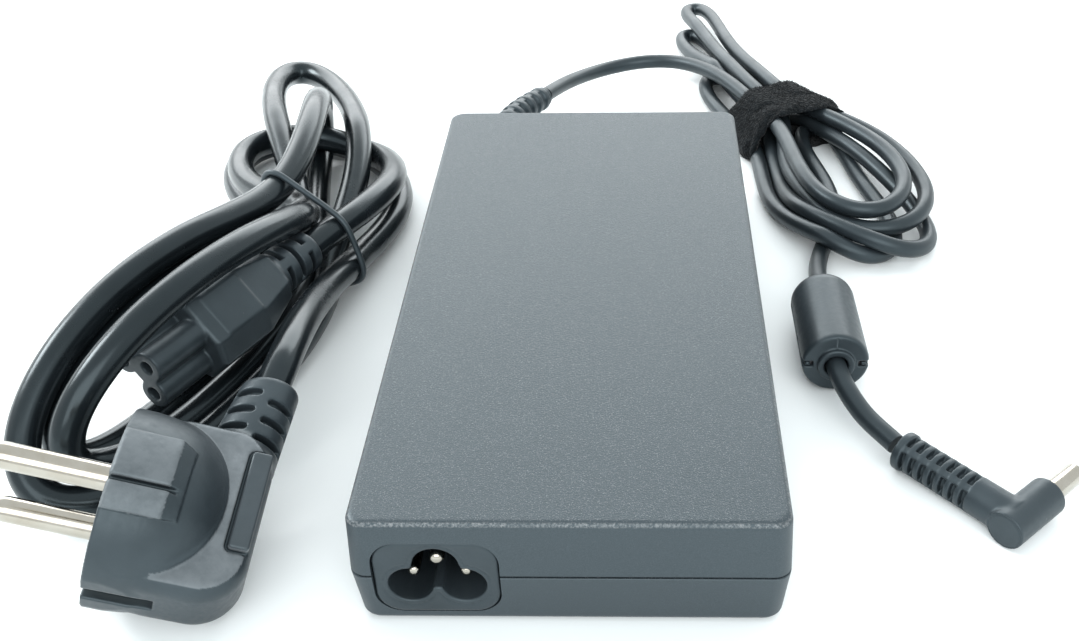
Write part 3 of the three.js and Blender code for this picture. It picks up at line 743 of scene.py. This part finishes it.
def carve(piece, cutters, sharp=30.0):
    """Takes the cutters out of a piece and throws them away."""
    for tool in cutters:
        modifier = piece.modifiers.new("carve", "BOOLEAN")
        modifier.operation = "DIFFERENCE"
        modifier.solver = "EXACT"
        modifier.object = tool
    graph = bpy.context.evaluated_depsgraph_get()
    mesh = bpy.data.meshes.new_from_object(piece.evaluated_get(graph))
    piece.modifiers.clear()
    piece.data = mesh
    for tool in cutters:
        bpy.data.objects.remove(tool)
    shade(mesh, sharp)
    weigh_normals(piece)


# ---- case
CASE_HALF = (38.0, 77.75)
CASE_TOP, SEAM = 24.5, 11.9
FLARE, DRAFT, WALL, CORNER = 0.55, 1.0, 2.2, 3.2
TOP_EDGE, BOTTOM_EDGE, SEAM_GAP = 1.25, 1.9, 0.42
INLET = {"x": -23.2, "z": 11.35, "half": (10.95, 8.4), "corner": 4.7, "front": -77.9}
EXIT_HOLE = (-27.0, 12.0, 4.6)


def side_at(z):
    """How far the case's side is outside its top outline at a height."""
    if z >= SEAM:
        return FLARE * (1 - (z - SEAM) / (CASE_TOP - SEAM))
    return FLARE - DRAFT * (SEAM - z) / SEAM


def case_ring(z, inward=0.0):
    grow = side_at(z) - inward
    return rounded_plan(CASE_HALF[0] + grow, CASE_HALF[1] + grow, CORNER, z)


def edge_rings(end, inward, radius, steps=9):
    """Rings of a rounded rim that ends at a height."""
    rings = []
    for share in np.linspace(0, 1, steps):
        angle = share * math.pi / 2
        rings.append(case_ring(end + inward * radius * (1 - math.sin(angle)), radius * (1 - math.cos(angle))))
    return rings


upper_rings = [case_ring(SEAM + SEAM_GAP, 0.15), case_ring(SEAM + SEAM_GAP + 0.15), case_ring(18)]
upper_rings += edge_rings(CASE_TOP, -1, TOP_EDGE)
lower_rings = [case_ring(SEAM, 0.12), case_ring(SEAM - 0.12), case_ring(7.5)] + edge_rings(0, 1, BOTTOM_EDGE)
HERE = Place(turn(), (0, 0, 0), (0, 0, 0))


def inlet_cutter():
    ring = rounded_plan(INLET["half"][0] + 0.22, INLET["half"][1] + 0.22, INLET["corner"] + 0.2, 0)
    upright = np.stack([ring[:, 0] + INLET["x"], 0 * ring[:, 0], ring[:, 1] + INLET["z"]], 1)
    return cutter(*skin_rings([upright + (0, -84, 0), upright + (0, -58, 0)]))


def exit_cutter():
    rings = lathe([(EXIT_HOLE[2], 70), (EXIT_HOLE[2], 84)], 1, 40)
    return cutter(*skin_rings([ring + (EXIT_HOLE[0], 0, EXIT_HOLE[1]) for ring in rings]))


def hollow(low, high, inset):
    return cutter(*skin_rings([case_ring(low, inset), case_ring(high, inset)]))


upper_case = put_rings("upper_case_skin", upper_rings, HERE, "adapter", "case_plastic", ["upper_case"])
carve(upper_case, [hollow(SEAM - 1, CASE_TOP - WALL, WALL), inlet_cutter(), exit_cutter()])
lower_case = put_rings("lower_case_skin", lower_rings, HERE, "adapter", "case_plastic", ["lower_case"])
carve(lower_case, [hollow(WALL, SEAM + 1, WALL), inlet_cutter(), exit_cutter()])
lip = put_rings(
    "seam_lip", [case_ring(SEAM + up, inward) for up, inward in ((-2.5, 0.95), (2.5, 0.95), (2.5, 1.7), (-2.5, 1.7))],
    HERE, "adapter", "case_plastic", closed=True,
)
carve(lip, [inlet_cutter(), exit_cutter()])

# ---- mains inlet
EARTH_UP, LIVE_DOWN, CAVITY = 3.0, 1.8, 15.0


def inlet_field(p):
    x, y, z = p[:, 0], p[:, 1], p[:, 2]
    body = between(flat_box(x, z, *INLET["half"], INLET["corner"]), y, 0, 18, 0.35)
    lobes = join(size(x, z - EARTH_UP) - 4.0, size(np.abs(x) - PIN_PITCH, z + LIVE_DOWN) - 3.95, 0.9)
    lobes = join(lobes, flat_box(x, z - 0.3, PIN_PITCH - 0.6, 2.75, 0.2), 0.5)
    body = cut(body, between(lobes, y, -4, CAVITY, 0.0), 0.45)
    return cut(body, between(np.abs(lobes - 0.9) - 0.16, y, -1, 0.22, 0.0), 0.1)


INLET_PLACE = Place(turn(), (INLET["x"], INLET["front"] + 0.15, INLET["z"]), (0, 0, 0))
put_field("inlet_skin", inlet_field, (-11.2, -0.4, -8.7), (11.2, 18.2, 8.7), 0.34, INLET_PLACE, "adapter",
          "black_plastic", ["inlet_housing"])


def pin_profile(radius, start, end, nose, steps=7):
    """A round pin with a rounded tip, as (radius, distance) from tip to root."""
    profile = [(0.02, start)]
    for angle in np.linspace(0, math.pi / 2, steps):
        profile.append((radius - nose * (1 - math.sin(angle)), start + nose * (1 - math.cos(angle))))
    return profile + [(radius, end), (0.02, end)]


for node, px, pz, radius, recess in (
    ("inlet_pin_earth", 0, EARTH_UP, 1.32, 1.3), ("inlet_pin_line", -PIN_PITCH, -LIVE_DOWN, 1.15, 2.9),
    ("inlet_pin_neutral", PIN_PITCH, -LIVE_DOWN, 1.15, 2.9),
):
    pin_place = Place(turn(), INLET_PLACE.out([(px, 0, pz)])[0], (0, 0, 0))
    put_rings(node + "_skin", lathe(pin_profile(radius, recess, 20, radius * 0.8), 1, 32), pin_place, "adapter",
              "plated_metal", [node], sharp=50)

# ---- mains plug
DOME_CURVE = smooth_path([
    (4.5, 17.8, 0), (8, 17.45, 0), (11, 16.75, 0), (13, 15.9, 0), (15, 14.6, 0), (17, 12.8, 0), (18.6, 10.8, 0),
    (19.8, 8.6, 0), (20.6, 6.3, 0), (21.05, 3.6, 0), (21.2, 0, 0),
], 3)[:, :2]
DOME = [(1.0, -6), (1.0, 17.5), (1.3, 17.8)] + [tuple(point) for point in DOME_CURVE] + [(21.2, -6)]
PAD = [(1.4, 10), (1.4, 18.15), (10.8, 18.15), (13.6, 15.9), (13.6, 10)]
PAD_ANGLE, PAD_SPREAD, GROOVE_ANGLE = -4.9, 24.9, -12.8  # degrees round the plug's own axis
ARC_MM = 0.31  # one degree round the dome
FLAT_Z = 7.3
BOOT_X, BOOT_LEAN, BOOT_TOP = 20.2, 2.2, 31.6
SLOT_ROWS, SLOT_START, SLOT_STEP, SLOT_STAGGER = 3, 18.6, 4.3, -1.9


def plug_field(p):
    x, y, z = p[:, 0], p[:, 1], p[:, 2]
    r = size(y, z)
    near = np.abs(z)
    angle = np.degrees(np.arctan2(y, near))
    dome = np.maximum(outline(x, r, DOME), between(np.abs(x - 8) - 14, y, -17.1, 16.0, 0.0))
    # grip pads that stand out of the round part, with a groove between them
    across = (np.abs(angle - PAD_ANGLE) - PAD_SPREAD) * ARC_MM
    pads = np.maximum(outline(x, r, PAD), across)
    dome = join(dome, pads, 0.2)
    groove = np.maximum(np.abs(angle - GROOVE_ANGLE) * ARC_MM - 0.45, np.abs(x - 6.5) - 6.2)
    dome = cut(dome, np.maximum(groove, 16.5 - r), 0.25)
    # flat back, well rounded at its lower corner
    back = np.maximum(flat_box(x - 14.9, y - 0.3, 12.0, 17.2, 8.5), 5.0 - x)
    body = join(dome, between(back, z, -8.4, 8.4, 4.6), 0.5)
    # shallow flat on each side, bounded by the dome and a soft crease
    flat = flat_box(x - 12.7, y - 3.6, 12.9, 19.6, 7.0)
    body = cut(body, np.maximum.reduce([flat + 0.2, FLAT_Z - near, 0.25 - dome]), 0.5)
    # raised bar beside the flat, in its own groove
    bar = flat_box(x - 24.3, y - 2.7, 1.85, 9.9, 0.7)
    body = cut(body, np.maximum(np.abs(bar - 0.25) - 0.4, FLAT_Z - 0.8 - near), 0.2)
    body = join(body, np.maximum(between(bar, z, -8.15, 8.15, 0.5), x - 26.4), 0.15)
    # boot with two staggered rows of slots
    t = np.clip((y - 14) / 17.6, 0, 1)
    middle = BOOT_X + BOOT_LEAN * t
    radius = size(x - middle, z * 1.03)
    body = join(body, between(radius - (6.8 - 1.2 * t), y, 12, BOOT_TOP, 1.3), 1.3)
    for i in range(SLOT_ROWS):
        for side, shift in ((-1, 0.0), (1, SLOT_STAGGER)):
            at = SLOT_START + SLOT_STEP * i + shift
            slot_gap = flat_box((x - middle) * side - 6.2, y - at, 5.35, 0.85, 0.84)
            body = cut(body, np.maximum.reduce([slot_gap, 0.8 - near, 4.1 - radius]), 0.22)
    # earth clips' slots, pin sockets and earth hole
    clip = flat_box(x - 6.8, z, 6.1, 1.75, 0.25)
    body = cut(body, np.maximum(clip, 14.4 - np.abs(y)), 0.12)
    for pz in (-PIN_OFFSET, PIN_OFFSET):
        body = cut(body, rod(p, 0, -2, 9.5, 2.55, (0, pz)), 0.2)
    return cut(body, rod(p, 0, -2, 13, 2.5, (-9.8, 0)), 0.3)


def plug_wear(p):
    """How rubbed and pitted the plug's skin is: the pads and the flat most."""
    x, y, z = p[:, 0], p[:, 1], p[:, 2]
    near = np.abs(z)
    r = size(y, z)
    angle = np.degrees(np.arctan2(y, near))
    pads = (x < 11.2) & (angle < 20.5) & (angle > -29.8) & (r > 17.3)
    flat = (near < FLAT_Z + 0.25) & (near > FLAT_Z - 0.3) & (x > 11.5)
    bar = (near > 7.6) & (x > 22)
    pitted = np.exp(-(((x - 21) / 2.6) ** 2 + ((y - 7.5) / 5.0) ** 2)) * flat
    return np.clip(0.6 * pads + 0.72 * flat + 0.12 * bar + 0.5 * pitted, 0, 1)


put_field("mains_plug_skin", plug_field, (0.6, -18.6, -18.6), (28.2, 32.0, 18.6), 0.36, PLUG, "mains_lead",
          "black_plastic", ["mains_plug_overmould"], wear=plug_wear)
for node, pz in (("plug_pin_line", PIN_OFFSET), ("plug_pin_neutral", -PIN_OFFSET)):
    place = Place(PLUG.rotation, PLUG.out([(0, 0, pz)])[0], (0, 0, 0))
    profile = [(0.02, -19.0), (1.3, -18.95), (1.75, -18.7), (2.1, -18.2), (2.3, -17.5), (2.4, -16.6), (2.4, -1.0),
               (2.4, 7.5), (0.02, 7.5)]
    put_rings(node + "_skin", lathe(profile, 0, 40), place, "mains_lead", "plated_metal", [node], sharp=45)


def clip_field(side):
    def field(p):
        z = p[:, 2]
        bowed = p[:, 1] - side * (14.75 + 0.35 * np.cos((p[:, 0] - 6.8) * 0.22))
        return between(flat_box(p[:, 0] - 6.7, z, 5.9, 1.6, 0.3), bowed, -0.45, 0.45, 0.15)
    return field


for node, side in (("earth_clip_near", -1), ("earth_clip_far", 1)):
    low, high = sorted((side * 13.6, side * 16.2))
    put_field(node + "_skin", clip_field(side), (0.6, low, -2), (12.9, high, 2), 0.25, PLUG, "mains_lead",
              "plated_metal", [node])

# ---- appliance connector
NOSE, BODY_END, BOOT_END = 13.5, 39.5, 53.0
NOSE_UP, NOSE_DOWN = 3.1, 1.6


def connector_field(p):
    x, y, z = p[:, 0], p[:, 1], p[:, 2]
    lobes = join(size(x, z - NOSE_UP) - 3.5, size(np.abs(x) - PIN_PITCH, z + NOSE_DOWN) - 3.4, 1.6)
    nose = between(join(lobes, flat_box(x, z - 0.3, 3.6, 2.0, 0.4), 0.5), y, 0, NOSE + 2, 0.4)
    # shouldered body that narrows towards the boot
    t = np.clip((y - NOSE - 15) / 11.5, 0, 1)
    wide = 9.7 - 3.6 * t
    deep = 7.2 - 1.3 * t
    chamfer = (np.abs(x) / wide + np.abs(z) / deep - 1.55) * 0.62 * np.minimum(wide, deep)
    section = np.maximum(flat_box(x, z, wide, deep, 2.2), chamfer)
    body = between(section, y, NOSE, BODY_END, 1.2) * 0.93
    step = between(flat_box(x, z, wide * 0.55, deep + 0.35, 0.8), y, NOSE + 3.5, NOSE + 15, 0.8)
    body = join(body, step, 0.3)
    s = np.clip((y - BODY_END + 1) / 14.5, 0, 1)
    boot = between(size(x, z) - (5.65 - 0.75 * s), y, BODY_END - 2, BOOT_END, 1.0)
    shell = join(join(nose, body, 0.5), boot, 0.9)
    for i in range(3):
        middle = BODY_END + 2.2 + 3.9 * i
        gap = np.maximum(np.abs(y - middle) - 0.75, 1.3 - np.abs(z if i % 2 else x))
        shell = cut(shell, np.maximum(gap, 3.3 - size(x, z)), 0.25)
    for px, pz in ((0, NOSE_UP), (-PIN_PITCH, -NOSE_DOWN), (PIN_PITCH, -NOSE_DOWN)):
        shell = cut(shell, rod(p, 1, -1, 12, 1.45, (px, pz)), 0.3)
    return shell


put_field("connector_skin", connector_field, (-10.2, -0.3, -7.9), (10.2, 53.3, 7.9), 0.36, CONNECTOR, "mains_lead",
          "black_plastic", ["connector_overmould"])

# ---- strain relief of the low-voltage cord
RELIEF = smooth_path([(-27, 70, 12), (-27, 79.5, 12), (-26, 90, 12.3), (-22.5, 102, 12.2), (-16, 114.4, 11.5)], 12)


def along(p, path):
    """For each point: how far along a path it is, and its sideways and upward offsets from it."""
    s = arc_lengths(path)
    best = np.full(len(p), 1e9)
    out = np.zeros((len(p), 3))
    for a, b, start in zip(path, path[1:], s):
        way = b - a
        length = np.linalg.norm(way)
        way = way / length
        t = np.clip((p - a) @ way, 0, length)
        off = p - a - t[:, None] * way
        gap = (off**2).sum(1)
        up = np.array((0, 0, 1.0)) - way[2] * way
        up /= np.linalg.norm(up)
        new = np.stack([start + t, off @ np.cross(way, up), off @ up], 1)
        closer = gap < best
        best = np.where(closer, gap, best)
        out[closer] = new[closer]
    return out


RELIEF_LENGTH = arc_lengths(RELIEF)[-1]


def relief_field(p):
    q = along(p, RELIEF)
    s, u = q[:, 0], q[:, 1]
    r = size(u, q[:, 2])
    t = np.clip((s - 10) / (RELIEF_LENGTH - 10), 0, 1)
    ends = np.abs(s - RELIEF_LENGTH / 2) - RELIEF_LENGTH / 2
    core = np.maximum(r - (3.15 - 0.15 * t), ends)
    field = join(core, np.maximum(r - 4.4, np.maximum(s - 12.5, -s)), 0.3)
    for i in range(9):
        at = 14.2 + 3.75 * i
        field = join(field, between(r - (4.35 - 0.9 * t), s, at - 1.0, at + 1.0, 0.4), 0.25)
    rails = np.maximum(np.abs(u) - 1.1, np.maximum(r - (4.1 - 0.9 * t), np.abs(s - 28) - 16))
    field = join(field, rails, 0.25)
    return cut(field, np.maximum(r - 2.2, 30 - s), 0.1)


put_field("strain_relief_skin", relief_field, (-32, 69.5, 7), (-11, 119, 17), 0.33, HERE, "adapter", "black_plastic",
          ["dc_strain_relief"])

# ---- ferrite sleeve
F_RADIUS, F_HALF = 7.3, 13.4


def ferrite_field(p):
    x, y, z = p[:, 0], p[:, 1], p[:, 2]
    r = size(x, z)
    barrel = outline(y, r, [
        (-F_HALF, 0), (-F_HALF, 6.7), (-F_HALF + 0.12, 7.0), (-F_HALF + 0.5, 7.22), (-F_HALF + 1, F_RADIUS),
        (10.0, F_RADIUS), (11.2, 7.1), (12.2, 6.6), (12.9, 5.8), (13.3, 4.8), (F_HALF, 3.6), (F_HALF, 0),
        (F_HALF, -7.3), (-F_HALF, -7.3),
    ])
    collar = between(r - 4.05, y, -F_HALF - 1.0, -F_HALF + 2, 0.35)
    shell = join(barrel, collar, 0.35)
    shell = cut(shell, rod(p, 1, -F_HALF - 3, -F_HALF + 1.2, 2.6), 0.3)
    shell = cut(shell, rod(p, 1, -12.2, 12.2, F_RADIUS - 1.3))
    shell = cut(shell, rod(p, 1, -20, 20, 2.35))
    # joint between the halves, latch slots at the face and marks on the side
    seam = np.maximum(np.abs(z) - 0.11, F_RADIUS - 0.35 - r)
    shell = cut(shell, seam, 0.1)
    slots = np.maximum.reduce([np.abs(z) - 0.75, -F_HALF - 1 - y, y + F_HALF - 1.7, 4.9 - np.abs(x)])
    shell = cut(shell, slots, 0.15)
    latch = between(flat_box(np.abs(x) - 6.1, z + 0.1, 0.55, 0.42, 0.1), y, -F_HALF + 0.15, -F_HALF + 1.7, 0.1)
    shell = join(shell, latch)
    for at in (8.0, -4.0):
        mark = between(flat_box(y - at, z, 0.8, 0.5, 0.1), np.abs(x), 6.6, 9, 0.05)
        shell = cut(shell, mark, 0.1)
    line = np.maximum.reduce([np.abs(x) - 0.1, 4.1 - z, np.abs(y + F_HALF) - 0.25])
    return cut(shell, line, 0.1)


put_field("ferrite_cover_skin", ferrite_field, (-7.6, -16.3, -7.6), (7.6, 15.3, 7.6), 0.3, FERRITE, "adapter",
          "black_plastic", ["ferrite_cover_upper", "ferrite_cover_lower"])

# ---- low-voltage plug
SLEEVE, HEAD_BACK, HEAD_FRONT = 3.9, -4.2, 10.3
DC_RIBS, DC_RIB_STEP = 7, 2.42


def dc_plug_field(p):
    x, y, z = p[:, 0], p[:, 1], p[:, 2]
    r = size(y, z)
    core = rod(p, 0, -26.6, -2, 2.5, edge=0.15)
    boot = join(core, rod(p, 0, -9.4, -0.5, SLEEVE), 0.3)
    boot = join(boot, between(r - 4.15, x, DC_BOOT_END, -25.1, 0.45), 0.2)
    for i in range(DC_RIBS):
        at = DC_BOOT_END + 3.5 + DC_RIB_STEP * i
        boot = join(boot, between(r - 3.85, x, at - 0.62, at + 0.62, 0.32), 0.12)
    for ry, rz in ((-0.64, 0.77), (0.64, 0.77), (-0.64, -0.77), (0.64, -0.77)):
        across = y * rz - z * ry
        outward = y * ry + z * rz
        rail = np.maximum.reduce([np.abs(across) - 0.75, 1 - outward, r - 3.8, np.abs(x + 17) - 9])
        boot = join(boot, rail, 0.12)
    head = rod(p, 1, HEAD_BACK, HEAD_FRONT, SLEEVE, edge=0.35)
    shape = join(boot, head, 0.55)
    disc = np.maximum(np.abs(size(x, z) - 3.45) - 0.12, np.abs(y - HEAD_BACK) - 0.14)
    shape = cut(shape, disc, 0.1)
    shape = cut(shape, rod(p, 1, HEAD_FRONT - 6, HEAD_FRONT + 3, 2.4), 0.3)
    return cut(shape, rod(p, 0, -30, -25.6, 2.25), 0.1)


put_field("dc_plug_skin", dc_plug_field, (-27.3, -4.6, -4.4), (4.3, 10.7, 4.4), 0.26, DC_PLUG, "adapter",
          "black_plastic", ["dc_plug_overmould"])
BARREL = 9.5
DC_SHELL = [(2.25, -5.5), (2.25, BARREL - 0.35), (2.17, BARREL - 0.12), (2.0, BARREL), (1.75, BARREL),
            (1.65, BARREL - 0.12), (1.65, -5.5)]
DC_LINING = [(1.6, -5.4), (1.6, BARREL - 0.7), (1.5, BARREL - 0.6), (1.05, BARREL - 0.6), (0.95, BARREL - 0.7),
             (0.95, -5.4)]
DC_NEEDLE = [(0.02, BARREL - 1.2), (0.2, BARREL - 1.22), (0.33, BARREL - 1.35), (0.35, BARREL - 1.6), (0.35, -5.4),
             (0.02, -5.4)]
HEAD = Place(DC_PLUG.rotation, DC_PLUG.out([(0, HEAD_FRONT, 0)])[0], (0, 0, 0))
for node, profile, sides, slot, closed, sharp in (
    ("dc_plug_barrel", DC_SHELL, 48, "plated_metal", True, 30.0),
    ("dc_plug_insulator", DC_LINING, 40, "black_plastic", True, 30.0),
    ("dc_plug_centre_pin", DC_NEEDLE, 24, "plated_metal", False, 50),
):
    put_rings(node + "_skin", lathe(profile, 1, sides), HEAD, "adapter", slot, [node], closed=closed, sharp=sharp)

# ---- bundles: what a strap or tie goes round
def crossing_hull(path, place, radius, y=0.0):
    """Convex outline, in a place's local (x, z) plane at y, round the discs where a cord crosses that plane."""
    local = (path - place.origin) @ place.rotation - (0, y, 0)
    spots = []
    for a, b in zip(local, local[1:]):
        if abs(a[0]) < 20 and (a[1] < 0) != (b[1] < 0):
            t = a[1] / (a[1] - b[1])
            spots.append((a + t * (b - a))[[0, 2]])
    angles = np.linspace(0, 2 * math.pi, 48, endpoint=False)
    discs = np.array([s + radius * np.array((math.cos(t), math.sin(t))) for s in spots for t in angles])
    hull = []
    for direction in np.linspace(0, 2 * math.pi, 200, endpoint=False):
        far = discs[(discs @ (math.cos(direction), math.sin(direction))).argmax()]
        if not hull or np.linalg.norm(far - hull[-1]) > 1e-6:
            hull.append(far)
    return np.array(hull)


def evened(loop, count, passes=0):
    """A closed outline resampled to equal steps, softened by some passes."""
    ring = np.vstack([loop, loop[:1]])
    s = np.concatenate([[0], np.cumsum(np.linalg.norm(np.diff(ring, axis=0), axis=1))])
    at = np.linspace(0, s[-1], count, endpoint=False)
    out = np.stack([np.interp(at, s, ring[:, k]) for k in range(ring.shape[1])], 1)
    for _ in range(passes):
        out = (np.roll(out, 1, 0) + 2 * out + np.roll(out, -1, 0)) / 4
    return out


# ---- hook-and-loop strap
STRAP_HANG, HAIRS, HAIRS_QUICK, HAIR_LENGTH, HAIR_WIDTH = 2.2, 15000, 1500, 0.8, 0.035
STRAP_LENGTH, STRAP_THICK, STRAP_ROWS, ROUND = 20.5, 1.5, 45, 120


def softened(rings, passes):
    """Rings evened out along the strap, ends held."""
    for _ in range(passes):
        rings[1:-1] = (rings[:-2] + 2 * rings[1:-1] + rings[2:]) / 4
    return rings


strap_at = (np.linspace(0, 1, STRAP_ROWS) - 0.5) * STRAP_LENGTH
hulls = [evened(crossing_hull(dc_path, STRAP, DC_CORD / 2 + 0.2, 0.85 * y), ROUND, 6) for y in strap_at]
around = softened(np.array(hulls), 12)
outward = np.roll(around, -1, 1) - np.roll(around, 1, 1)
outward = np.stack([outward[..., 1], -outward[..., 0]], -1) / np.linalg.norm(outward, axis=2)[..., None]
wobble = np.stack([np.convolve(random.normal(size=ROUND + 20), np.ones(9) / 9, "same")[:ROUND] for _ in range(4)])
strap_rings, inner = [], []
for k, y in enumerate(strap_at):
    share = k / (STRAP_ROWS - 1)
    edge = 1 - np.abs(2 * share - 1) ** 9
    bulge = 0.6 * math.sin(math.pi * share) ** 0.6
    lift = STRAP_THICK * (0.35 + 0.65 * edge) + bulge + 0.4 * wobble[0] + 0.35 * wobble[1] * math.sin(3 * share)
    shift = (wobble[2] if share > 0.5 else wobble[3]) * 1.2 * abs(2 * share - 1) ** 3
    spot = around[k] + outward[k] * lift[:, None]
    lining = around[k] + outward[k] * 0.12
    # the overlapped end hangs down on the left
    left = spot[:, 0] < around[k][:, 0].mean()
    hang = STRAP_HANG * np.exp(-((spot[:, 1] - 3) / 4) ** 2) * left * (1 - share)
    strap_rings.append(np.stack([spot[:, 0] - 0.5 * hang, y + shift - hang, np.maximum(spot[:, 1], 0.15)], 1))
    inner.append(np.stack([lining[:, 0], y + shift - hang, np.maximum(lining[:, 1], 0.1)], 1))
put_rings("strap_skin", strap_rings + inner[::-4], STRAP, "adapter", "strap_fabric", ["cord_strap"], closed=True,
          sharp=180)


def fibres(rings, count, length, width):
    """Short bent hairs, each three thin triangles in a row, that stand on a band's outside."""
    grid = np.array(rings)
    verts, faces = [], []
    for _ in range(count):
        i = random.integers(1, len(grid) - 2)
        j = random.integers(0, grid.shape[1])
        root = grid[i, j] + (grid[i + 1, j] - grid[i, j]) * random.random()
        root = root + (grid[i, (j + 1) % grid.shape[1]] - grid[i, j]) * random.random()
        normal = np.array((outward[i, j, 0], 0, outward[i, j, 1]))
        way = normal + random.normal(size=3) * 0.75
        way /= np.linalg.norm(way)
        reach = length * (0.35 + random.random())
        bend = random.normal(size=3) * 0.35 * reach
        side = np.cross(way, random.normal(size=3))
        side *= width / np.linalg.norm(side)
        tip = root + way * reach + bend
        middle = root + way * reach * 0.5
        if min(tip[2], middle[2]) < 0.1:
            continue
        base = len(verts)
        verts += [root - side, root + side, middle - side * 0.8, middle + side * 0.8, tip]
        faces += [(base, base + 1, base + 3, base + 2), (base + 2, base + 3, base + 4)]
    return np.array(verts), faces


hair_verts, hair_faces = fibres(strap_rings, HAIRS, HAIR_LENGTH, HAIR_WIDTH)
put("strap_fibres", STRAP.out(hair_verts), hair_faces, "adapter", "strap_fabric")

# ---- wire tie
TIE_WIRE = 1.5
TIE_POINTS, TIE_WAVE = 90, 0.8
loop = evened(crossing_hull(mains_path, TIE, MAINS_CORD / 2 + TIE_WIRE / 2), TIE_POINTS, 3)
wave = TIE_WAVE * np.sin(np.linspace(0, 4 * math.pi, TIE_POINTS))
loop = np.stack([loop[:, 0], wave, np.maximum(loop[:, 1], TIE_WIRE / 2 + 0.05)], 1)
put_cord("wire_tie_skin", TIE.out(loop), TIE_WIRE, "mains_lead", "black_plastic", ["wire_tie"], closed=True)

# ---- contacts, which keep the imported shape
for pole in ("earth", "line", "neutral"):
    kept = bpy.data.objects["connector_contact_" + pole]
    kept.data.materials.clear()
    kept.data.materials.append(LOOK["plated_metal"])


# ---- floor and light
FLOOR_COLOUR, FLOOR_HALF, FLOOR_Z = (0.88, 0.915, 0.92, 1), 3, -0.0002
SKY_COLOUR, SKY_STRENGTH = (0.93, 0.985, 1.0, 1), 1.3

floor_look = bpy.data.materials.new("floor")
floor_look.use_nodes = True
floor_shader = floor_look.node_tree.nodes["Principled BSDF"]
floor_shader.inputs["Base Color"].default_value = FLOOR_COLOUR
floor_shader.inputs["Roughness"].default_value = 0.55
floor_shader.inputs["Specular IOR Level"].default_value = 0.3
mesh = bpy.data.meshes.new("floor")
corners = [(a * FLOOR_HALF, b * FLOOR_HALF, 0) for a, b in ((-1, -1), (1, -1), (1, 1), (-1, 1))]
mesh.from_pydata(corners, [], [(0, 1, 2, 3)])
mesh.materials.append(floor_look)
floor = bpy.data.objects.new("floor", mesh)
floor.location.z = FLOOR_Z
bpy.context.scene.collection.objects.link(floor)

world = bpy.data.worlds.new("studio")
bpy.context.scene.world = world
world.use_nodes = True
world.node_tree.nodes["Background"].inputs["Color"].default_value = SKY_COLOUR
world.node_tree.nodes["Background"].inputs["Strength"].default_value = SKY_STRENGTH


def lamp(name, place, width, power):
    """A soft rectangular lamp aimed at the middle of the frame."""
    data = bpy.data.lights.new(name, "AREA")
    data.shape = "RECTANGLE"
    data.size, data.size_y = width
    data.energy = power
    light = bpy.data.objects.new(name, data)
    light.location = place
    light.rotation_euler = (-Vector(place)).to_track_quat("-Z", "Y").to_euler()
    bpy.context.scene.collection.objects.link(light)


for name, place, width, power in (
    ("back", (-0.25, 1.3, 0.62), (2.4, 0.7), 21.5), ("left", (-1.2, 0.4, 0.8), (0.5, 0.5), 14),
    ("front", (0.1, -1.5, 1.1), (2.0, 1.2), 24),
):
    lamp(name, place, width, power)
bpy.context.scene.view_settings.view_transform = "Standard"
